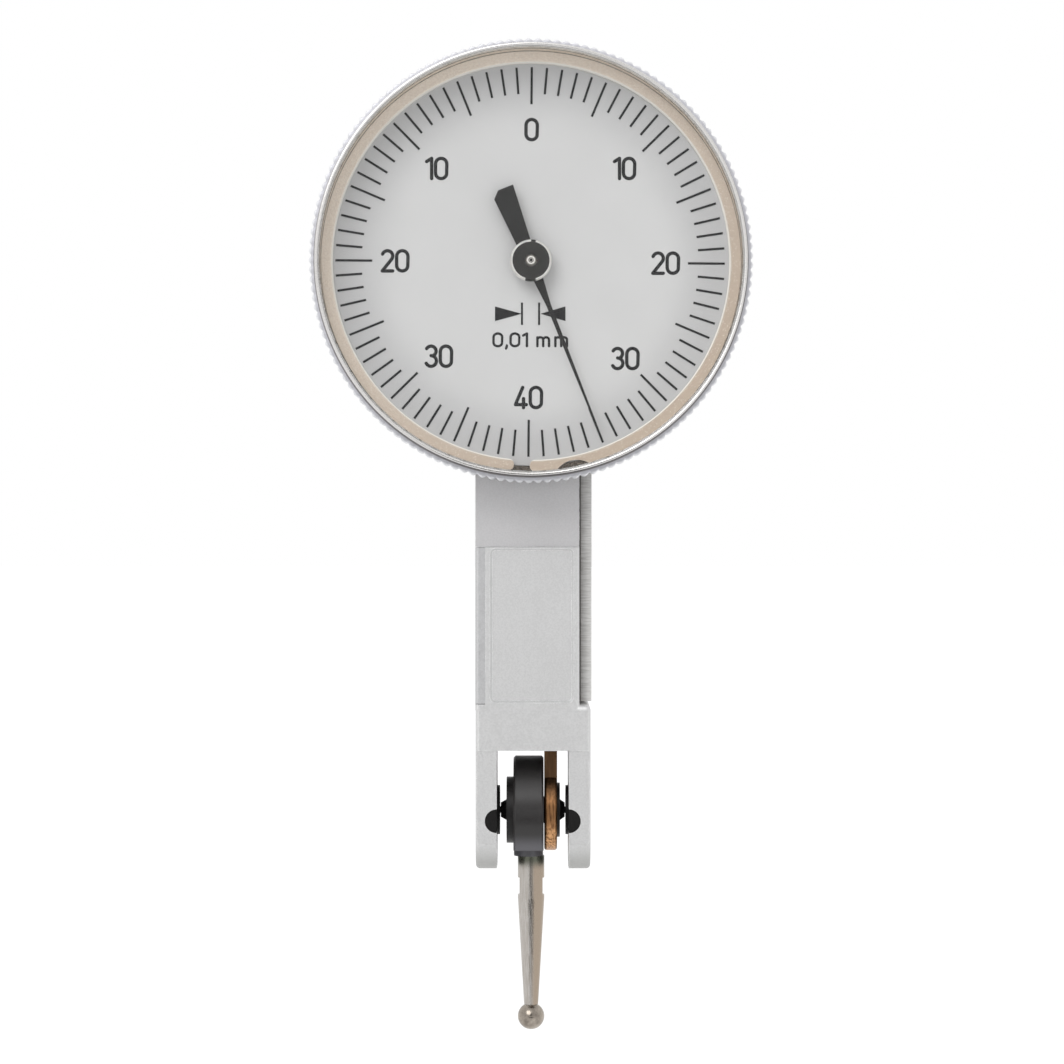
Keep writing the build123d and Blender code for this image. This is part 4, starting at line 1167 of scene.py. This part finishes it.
@dataclass
class Bezel:
    """The turning bezel: knurled band, polished rim, crystal, split ring and dial plate."""

    teeth: int = 145
    steps_per_tooth: int = 6
    tooth_depth: float = 0.22 * MM
    knurl_width: float = 4.0 * MM
    knurl_chamfer: float = 0.22 * MM
    knurl_shoulder: Flat = (0.35, 0.2)
    back_cut: float = 0.3
    shoulder_cut: float = 0.9
    front_cut: float = 0.5
    back_lip: float = 0.5 * MM
    lip_inset: float = 0.4 * MM
    rim_inset: float = 0.48 * MM
    rim_width: float = 0.25 * MM
    wall: float = 0.8 * MM
    crystal_below_rim: float = 0.25 * MM
    seat: float = 0.02 * MM
    plate_room: float = 0.25 * MM
    ledge_width: float = 0.58 * MM
    skirt_wall: float = 0.72 * MM
    skirt_room: float = 0.4 * MM
    border: float = 0.03 * MM
    sharp_angle: float = 28.0
    radius: float = field(init=False)
    centre: Vector = field(init=False)
    front: float = field(init=False)
    back: float = field(init=False)
    knurl_back: float = field(init=False)
    knurl_front: float = field(init=False)

    def build(self) -> None:
        """Builds the bezel's ring and dresses the pieces that turn with it."""
        low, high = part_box("bezel_ring")
        self.radius = (high.x - low.x) / 2
        self.centre = Vector(((high.x + low.x) / 2, 0, (high.z + low.z) / 2))
        self.front, self.back = low.y, high.y
        self.knurl_back = self.back - self.back_lip
        self.knurl_front = self.knurl_back - self.knurl_width
        self._ring()
        self._dress()

    def _loops(self) -> list[Place]:
        """The turned section: each loop's radius, its y and the share of the knurl's depth cut there.

        Returns:
            The loops in order, from the skirt over the knurl and the rim to the ledge.
        """
        plate_low, plate_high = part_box("dial_plate")
        crystal_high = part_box("crystal")[1]
        nose = self.rim_width / 2
        lip = self.radius - self.lip_inset
        rim = self.radius - self.rim_inset
        bore = self.radius - self.wall
        plate = (plate_high.x - plate_low.x) / 2 + self.seat
        ledge = plate - self.ledge_width
        skirt = lip - self.skirt_wall
        before = [
            (skirt, plate_high.y + self.skirt_room),
            (skirt, self.back),
            (lip, self.back),
            (lip, self.knurl_back),
        ]
        crest, chamfer = self.radius, self.knurl_chamfer
        inward, behind = (chamfer * share for share in self.knurl_shoulder)
        band = [
            (crest - chamfer, self.knurl_back, self.back_cut),
            (crest, self.knurl_back - chamfer, 1.0),
            (crest, (self.knurl_back + self.knurl_front) / 2, 1.0),
            (crest, self.knurl_front + chamfer, 1.0),
            (crest - inward, self.knurl_front + behind, self.shoulder_cut),
            (crest - chamfer, self.knurl_front, self.front_cut),
        ]
        after = [
            (lip, self.knurl_front),
            (rim, self.knurl_front - self.seat),
            *arc(rim - nose, self.front + nose, nose, 0, -180, 6),
            (bore, self.front + self.crystal_below_rim),
            (bore, crystal_high.y - self.seat),
            (bore, plate_low.y + self.plate_room),
            (plate, plate_low.y + self.plate_room),
            (plate, plate_high.y),
            (ledge, plate_high.y),
            (ledge, plate_high.y + self.skirt_room),
        ]
        return [(r, y, 0.0) for r, y in before] + band + [(r, y, 0.0) for r, y in after]

    def _ring(self) -> None:
        """Draws the ring out loop by loop, with the knurl on the loops of its band."""
        loops = self._loops()
        ring = bmesh.new()
        segments = self.teeth * self.steps_per_tooth
        bmesh.ops.create_circle(ring, cap_ends=False, segments=segments, radius=1.0)
        rotate(ring, ring.verts, 90, "X")
        first = edges = list(ring.edges)
        self._set_loop(list(ring.verts), *loops[0])
        for loop in loops[1:]:
            grown = bmesh.ops.extrude_edge_only(ring, edges=edges)["geom"]
            edges = [g for g in grown if isinstance(g, bmesh.types.BMEdge)]
            self._set_loop([g for g in grown if isinstance(g, bmesh.types.BMVert)], *loop)
        bmesh.ops.bridge_loops(ring, edges=first + edges)
        bmesh.ops.translate(ring, verts=ring.verts, vec=self.centre)
        polished = BezelFinish(
            "bezel_chrome", paint(218, 216, 214), paint(206, 204, 202), centre=self.centre,
            knurl_from=self.radius - self.rim_inset + self.border, crest=self.radius,
            bore=self.radius - self.wall + self.border, ring_front=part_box("split_ring")[0].y,
            shoulder=self.knurl_front,
        ).material()
        piece = finish_mesh("bezel_knurled_ring", ring, polished, "bezel",
                            sharp=self.sharp_angle)
        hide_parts("bezel_ring")

    def _set_loop(self, verts: Iterable[bmesh.types.BMVert], radius: float, depth: float,
                  knurl: float) -> None:
        """Moves one loop of vertices to its radius and depth, with scallops cut into it.

        Args:
            verts: The loop's vertices.
            radius: The loop's radius at the crests.
            depth: The loop's place along Y.
            knurl: The share of the tooth's depth that is cut here.
        """
        for vert in verts:
            angle = math.atan2(vert.co.z, vert.co.x)
            phase = (angle / math.tau * self.teeth) % 1.0
            cut = knurl * self.tooth_depth * (1 - math.sin(math.pi * phase))
            vert.co = ((radius - cut) * math.cos(angle), depth, (radius - cut) * math.sin(angle))

    def _dress(self) -> None:
        """Dresses the crystal, the split ring and the dial plate."""
        dress(CrystalFinish("clear_crystal", WHITE, (0.985, 0.99, 0.985, 1), metallic=0.0, roughness=0.0,
                            roughness_spread=0.01), "crystal")
        dress(SpeckledFinish("ring_tan", paint(248, 235, 220), paint(232, 217, 201), metallic=0.0,
                             roughness=0.6, cloud_share=0.1, centre=self.centre), "split_ring")
        dress(DialFinish("dial_white", paint(215, 215, 215), paint(211, 211, 211), metallic=0.0,
                         roughness=0.5, grain_size=0.1 * MM, cloud_size=6 * MM, bump=0.002 * MM,
                         specular=0.2, centre=self.centre), "dial_plate")


class Glyph(Enum):
    """The plain characters on the dial, as strokes in a box 1 high, on their middle lines."""

    ZERO = ("0", 0.56, 0.0)
    ONE = ("1", 0.25, 0.0)
    TWO = ("2", 0.52, 0.0)
    THREE = ("3", 0.53, 0.0)
    FOUR = ("4", 0.54, 0.0)
    COMMA = (",", 0.05, 0.0)
    EM = ("m", 0.75, 0.1)
    SPACE = (" ", 0.1, 0.0)

    def __init__(self, character: str, width: float, side: float) -> None:
        """Keeps the character, its width and the extra space at its sides.

        Args:
            character: The character as it is typed.
            width: The width of its middle lines in heights.
            side: The extra space on each side in heights.
        """
        self.character = character
        self.width = width
        self.side = side

    @property
    def closed(self) -> bool:
        """Whether the character is one stroke that closes on itself."""
        return self is Glyph.ZERO

    def strokes(self) -> list[list[Flat]]:
        """The strokes of the character.

        Returns:
            The points of each stroke in order.
        """
        w = self.width
        r = w / 2
        if self is Glyph.ZERO:
            return [arc(r, 1 - r, r, 0, 180) + arc(r, r, r, 180, 360)]
        if self is Glyph.ONE:
            return [[(0, 0.84), (w, 1)], [(w, 1), (w, 0)]]
        if self is Glyph.TWO:
            return [arc(r, 1 - r, r, 160, -35) + [(0, 0)], [(0, 0), (w, 0)]]
        if self is Glyph.THREE:
            top = r * 0.94
            return [arc(r, 1 - top, top, 150, -58), [(r, 0.53)] + arc(r, r, r, 62, -155)]
        if self is Glyph.FOUR:
            return [[(0.36, 1), (0, 0.15)], [(0, 0.15), (w, 0.15)], [(0.40, 0.45), (0.40, 0)]]
        if self is Glyph.COMMA:
            return [[(w, 0.06), (w, -0.02), (0, -0.18)]]
        if self is Glyph.EM:
            top, bow = 0.7, w / 4
            humps = [arc(n * bow, top - bow, bow, 180, 0) + [((n + 1) * bow, 0)] for n in (1, 3)]
            return [[(0, 0), (0, top)], *humps]
        return []


@dataclass(frozen=True)
class Lettering:
    """A size and weight of the plain characters: lengths on their middle lines."""

    height: float
    stroke: float
    gap: float
    breadth: float = 1.0


@dataclass
class Printing:
    """The black printing on the dial plate: graduation, numbers, unit and arrows."""

    turn: float = 0.5
    divisions: int = 80
    long_every: int = 5
    outer: float = 14.11 * MM
    inner: float = 12.19 * MM
    long_inner: float = 11.43 * MM
    line_width: float = 0.167 * MM
    ink: float = 0.02 * MM
    bar_sink: float = 0.4
    letter_sink: float = 0.3
    offset: float = -0.07 * MM
    number_radius: float = 9.68 * MM
    number_letters: Lettering = Lettering(1.47 * MM, 0.25 * MM, 0.19)
    number_places: tuple[tuple[str, float, float, float], ...] = (
        ("0", 0, 0.03, -0.09),
        ("10", 45, -0.06, -0.01),
        ("20", 90, 0.14, 0.0),
        ("30", 135, 0.1, -0.09),
        ("40", 180, -0.03, -0.14),
        ("30", 225, 0.28, -0.04),
        ("20", 270, -0.1, 0.0),
        ("10", 315, 0.02, -0.13),
    )
    unit_letters: Lettering = Lettering(0.92 * MM, 0.18 * MM, 0.3, 1.22)
    unit_place: Flat = (0.01 * MM, -5.64 * MM)
    arrow_height: float = 1.06 * MM
    arrow_level: float = -3.75 * MM
    arrow_spans: tuple[Flat, ...] = ((-2.54 * MM, -0.6 * MM), (2.56 * MM, 0.75 * MM))
    bar_places: Flat = (-0.59 * MM, 0.65 * MM)
    bar_height: float = 1.62 * MM
    bar_width: float = 0.145 * MM
    letter_sharp: float = 70.0
    letter_weld: float = 0.0005 * MM
    end_angles: Flat = (60.0, 20.0)
    surface: float = field(init=False)
    centre: Vector = field(init=False)
    black: bpy.types.Material = field(init=False)

    def build(self) -> None:
        """Prints the dial."""
        low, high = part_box("dial_plate")
        self.surface = low.y
        self.centre = Vector(((low.x + high.x) / 2 + self.offset, 0, (low.z + high.z) / 2))
        self.black = Finish("printing_ink", paint(30, 30, 32), paint(23, 23, 25), metallic=0.0,
                            roughness=0.5, grain_size=0.05 * MM, bump=0.001 * MM,
                            specular=0.1).material()
        self._graduation()
        self._numbers()
        self._arrows()
        self._write("dial_unit", [("0,01 mm", *self.unit_place)], self.unit_letters)

    def _bar(self, built: bmesh.types.BMesh, place: Flat, size: Flat, angle: float = 0.0) -> None:
        """Adds a thin printed bar and turns it round the dial's middle.

        Args:
            built: The bmesh that it goes into.
            place: Its middle on the dial before it is turned.
            size: Its width and height.
            angle: How far it is turned, in degrees.
        """
        made = bmesh.ops.create_cube(built, size=1.0)["verts"]
        depth = self.surface - self.ink * self.bar_sink
        bmesh.ops.scale(built, verts=made, vec=(size[0], self.ink, size[1]))
        bmesh.ops.translate(built, verts=made, vec=(place[0], depth, place[1]))
        rotate(built, made, angle, "Y")
        bmesh.ops.translate(built, verts=made, vec=self.centre)

    def _graduation(self) -> None:
        """The divisions round the dial, every fifth one longer."""
        lines = bmesh.new()
        for i in range(self.divisions):
            inner = self.long_inner if i % self.long_every == 0 else self.inner
            self._bar(lines, (0, (self.outer + inner) / 2), (self.line_width, self.outer - inner),
                      360 / self.divisions * i + self.turn)
        finish_mesh("dial_graduation", lines, self.black, "bezel")

    def _write(self, name: str, words: Sequence[tuple[str, float, float]], letters: Lettering) -> None:
        """Writes words as rounded strokes that lie flat on the dial.

        Args:
            name: The piece's name.
            words: Each word with the place of its middle on the dial.
            letters: The size and weight of the characters.
        """
        curve = bpy.data.curves.new(name, "CURVE")
        curve.dimensions = "3D"
        curve.bevel_depth = letters.stroke / 2
        curve.bevel_resolution = 2
        for word, x, z in words:
            glyphs = [next(g for g in Glyph if g.character == c) for c in word]
            gaps = [letters.gap + a.side + b.side for a, b in zip(glyphs, glyphs[1:])] + [0.0]
            width = sum(g.width for g in glyphs) * letters.breadth + sum(gaps)
            across = x - width * letters.height / 2
            for glyph, gap in zip(glyphs, gaps):
                for points in glyph.strokes():
                    placed = [
                        (across + px * letters.breadth * letters.height, z + (pz - 0.5) * letters.height)
                        for px, pz in points
                    ]
                    self._stroke(curve, placed, glyph.closed, letters.stroke / 2)
                across += (glyph.width * letters.breadth + gap) * letters.height
        holder = bpy.data.objects.new(name + "_curve", curve)
        mesh = bpy.data.meshes.new_from_object(holder)
        bpy.data.objects.remove(holder)
        bpy.data.curves.remove(curve)
        built = bmesh.new()
        built.from_mesh(mesh)
        bpy.data.meshes.remove(mesh)
        bmesh.ops.remove_doubles(built, verts=built.verts, dist=self.letter_weld)
        bmesh.ops.scale(built, verts=built.verts, vec=(1, self.ink / letters.stroke, 1))
        place = self.centre + Vector((0, self.surface - self.ink * self.letter_sink, 0))
        bmesh.ops.translate(built, verts=built.verts, vec=place)
        finish_mesh(name, built, self.black, "bezel", sharp=self.letter_sharp)

    def _stroke(self, curve: bpy.types.Curve, points: list[Flat], closed: bool,
                radius: float) -> None:
        """Adds one stroke to the curve, with round ends where it is open.

        Args:
            curve: The curve that it goes into.
            points: The points of its middle line.
            closed: Whether it closes on itself.
            radius: Half the stroke's width.
        """
        marks = [(Vector((x, 0, z)), 1.0) for x, z in points]
        if closed:
            marks = marks[:-1]
        else:
            first, last = marks[0][0], marks[-1][0]
            head = (first - marks[1][0]).normalized()
            tail = (last - marks[-2][0]).normalized()
            for turn in map(math.radians, self.end_angles):
                reach, size = radius * math.cos(turn), math.sin(turn)
                marks.insert(0, (first + head * reach, size))
                marks.append((last + tail * reach, size))
        spline = curve.splines.new("POLY")
        spline.points.add(len(marks) - 1)
        spline.use_cyclic_u = closed
        for point, (place, size) in zip(spline.points, marks):
            point.co = (*place, 1.0)
            point.radius = size

    def _numbers(self) -> None:
        """The numbers from 0 to 40 down both sides."""
        words = []
        for number, clock, right, up in self.number_places:
            angle = math.radians(clock + self.turn)
            words.append((number, self.number_radius * math.sin(angle) + right * MM,
                          self.number_radius * math.cos(angle) + up * MM))
        self._write("dial_numbers", words, self.number_letters)

    def _arrows(self) -> None:
        """Two arrows that point at the two bars of one division."""
        drawn = bmesh.new()
        for base, tip in self.arrow_spans:
            corners = [(base, self.arrow_height / 2), (base, -self.arrow_height / 2), (tip, 0)]
            verts = [drawn.verts.new((x, self.surface, self.arrow_level + z)) for x, z in corners]
            face = drawn.faces.new(verts)
            grown = bmesh.ops.extrude_face_region(drawn, geom=[face])["geom"]
            raised = [g for g in grown if isinstance(g, bmesh.types.BMVert)]
            bmesh.ops.translate(drawn, verts=raised, vec=(0, -self.ink, 0))
            bmesh.ops.translate(drawn, verts=verts + raised, vec=self.centre)
        for x in self.bar_places:
            self._bar(drawn, (x, self.arrow_level), (self.bar_width, self.bar_height))
        finish_mesh("dial_arrows", drawn, self.black, "bezel")


@dataclass
class Pointer:
    """The pointer's hand and cap on the centre arbor, with the hairspring's collet."""

    def dress(self, centre: Vector) -> None:
        """Gives the pieces their finishes.

        Args:
            centre: A point on the dial's axis.
        """
        dress(WornFinish("pointer_black", paint(32, 31, 31), paint(25, 24, 24), metallic=0.0,
                         roughness=0.45, worn=paint(62, 60, 58), specular=0.15,
                         edge_mask_width=0.02 * MM), "pointer_hand")
        dress(CapFinish("pointer_cap", paint(42, 41, 37), paint(18, 17, 16), metallic=0.0,
                        specular=0.2, centre=centre), "pointer_boss")
        dress(PinFinish("turned_arbor", paint(172, 169, 163), paint(132, 130, 125), roughness=0.3,
                        centre=centre), "centre_arbor")
        dress(Finish("collet_brass", paint(196, 166, 98), paint(170, 140, 78), roughness=0.3),
              "hairspring_collet")


@dataclass
class Movement:
    """The bridge, the cock, the jewels, the crown wheel and the hairspring inside."""

    def dress(self) -> None:
        """Gives the pieces of the movement their finishes."""
        dress(Finish("brass_movement", paint(200, 170, 102), paint(176, 146, 84), roughness=0.32,
                     grain_size=0.2 * MM),
              "movement_bridge", "rear_cock", "hairspring_stud", "crown_wheel",
              "arbor_bearing_left", "arbor_bearing_right")
        dress(BrushedFinish("small_screws", paint(178, 178, 182), paint(140, 140, 144), roughness=0.25),
              "bridge_screws", "cock_screw", "crown_arbor")
        dress(Finish("jewel_red", paint(168, 30, 52), paint(120, 16, 34), metallic=0.0, roughness=0.1,
                     roughness_spread=0.03, cloud_size=0.6 * MM), "front_jewel", "rear_jewel")
        dress(BrushedFinish("blued_spring", paint(64, 82, 140), paint(44, 56, 104), roughness=0.25,
                            stretch=(3000.0, 9000.0, 3000.0)), "hairspring")


@dataclass
class Lever:
    """The bronze transmission lever with its shaft, nut and washer."""

    def dress(self) -> None:
        """Gives the pieces their finishes."""
        dress(BronzeFinish("bronze", paint(168, 122, 82), paint(116, 82, 53), metallic=0.9,
                           roughness=0.36, stretch=(7000.0, 7000.0, 700.0)), "transmission_lever")
        dress(WornFinish("black_oxide", paint(44, 42, 42), paint(32, 31, 31), metallic=0.0,
                         roughness=0.42, specular=0.3, worn=paint(78, 76, 74)),
              "clamp_nut", "lever_washer", "pivot_shaft")


@dataclass
class Stylus:
    """The stylus: black hub, steel shank and polished contact ball."""

    collar_below_pivot: float = 2.6 * MM

    def dress(self) -> None:
        """Gives the pieces their finishes, with the pivot's height taken from the clamp nut."""
        nut_low, nut_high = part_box("clamp_nut")
        pivot_height = (nut_low.z + nut_high.z) / 2
        # The hub's low part carries a painted reflection of the floor below it.
        dress(WornFinish("hub_oxide", paint(34, 31, 31), paint(26, 24, 24), metallic=0.0, roughness=0.36,
                         specular=0.6, worn=paint(84, 82, 80), low_reflection=paint(88, 87, 92),
                         low_height=pivot_height - self.collar_below_pivot), "stylus_hub")
        dress(ShankFinish("polished_steel", paint(188, 184, 180), paint(164, 158, 151), roughness=0.24,
                          stretch=(16000.0, 16000.0, 500.0), bump=0.0008 * MM,
                          collar_height=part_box("stylus_hub")[0].z), "stylus_shank")
        dress(Finish("ball_steel", paint(172, 163, 152), paint(120, 112, 104), roughness=0.22,
                     roughness_spread=0.04, grain_size=0.5 * MM, bump=0.002 * MM), "contact_ball")


def main() -> None:
    """Builds the studio and each sub-assembly in order."""
    logging.basicConfig(level=logging.INFO, format="%(name)s %(message)s")
    cad_low, cad_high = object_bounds()
    Studio().build(cad_low.z)
    Housing().dress()
    bezel = Bezel()
    bezel.build()
    Printing().build()
    Pointer().dress(bezel.centre)
    Movement().dress()
    Lever().dress()
    Stylus().dress()


if __name__ == "__main__":
    main()
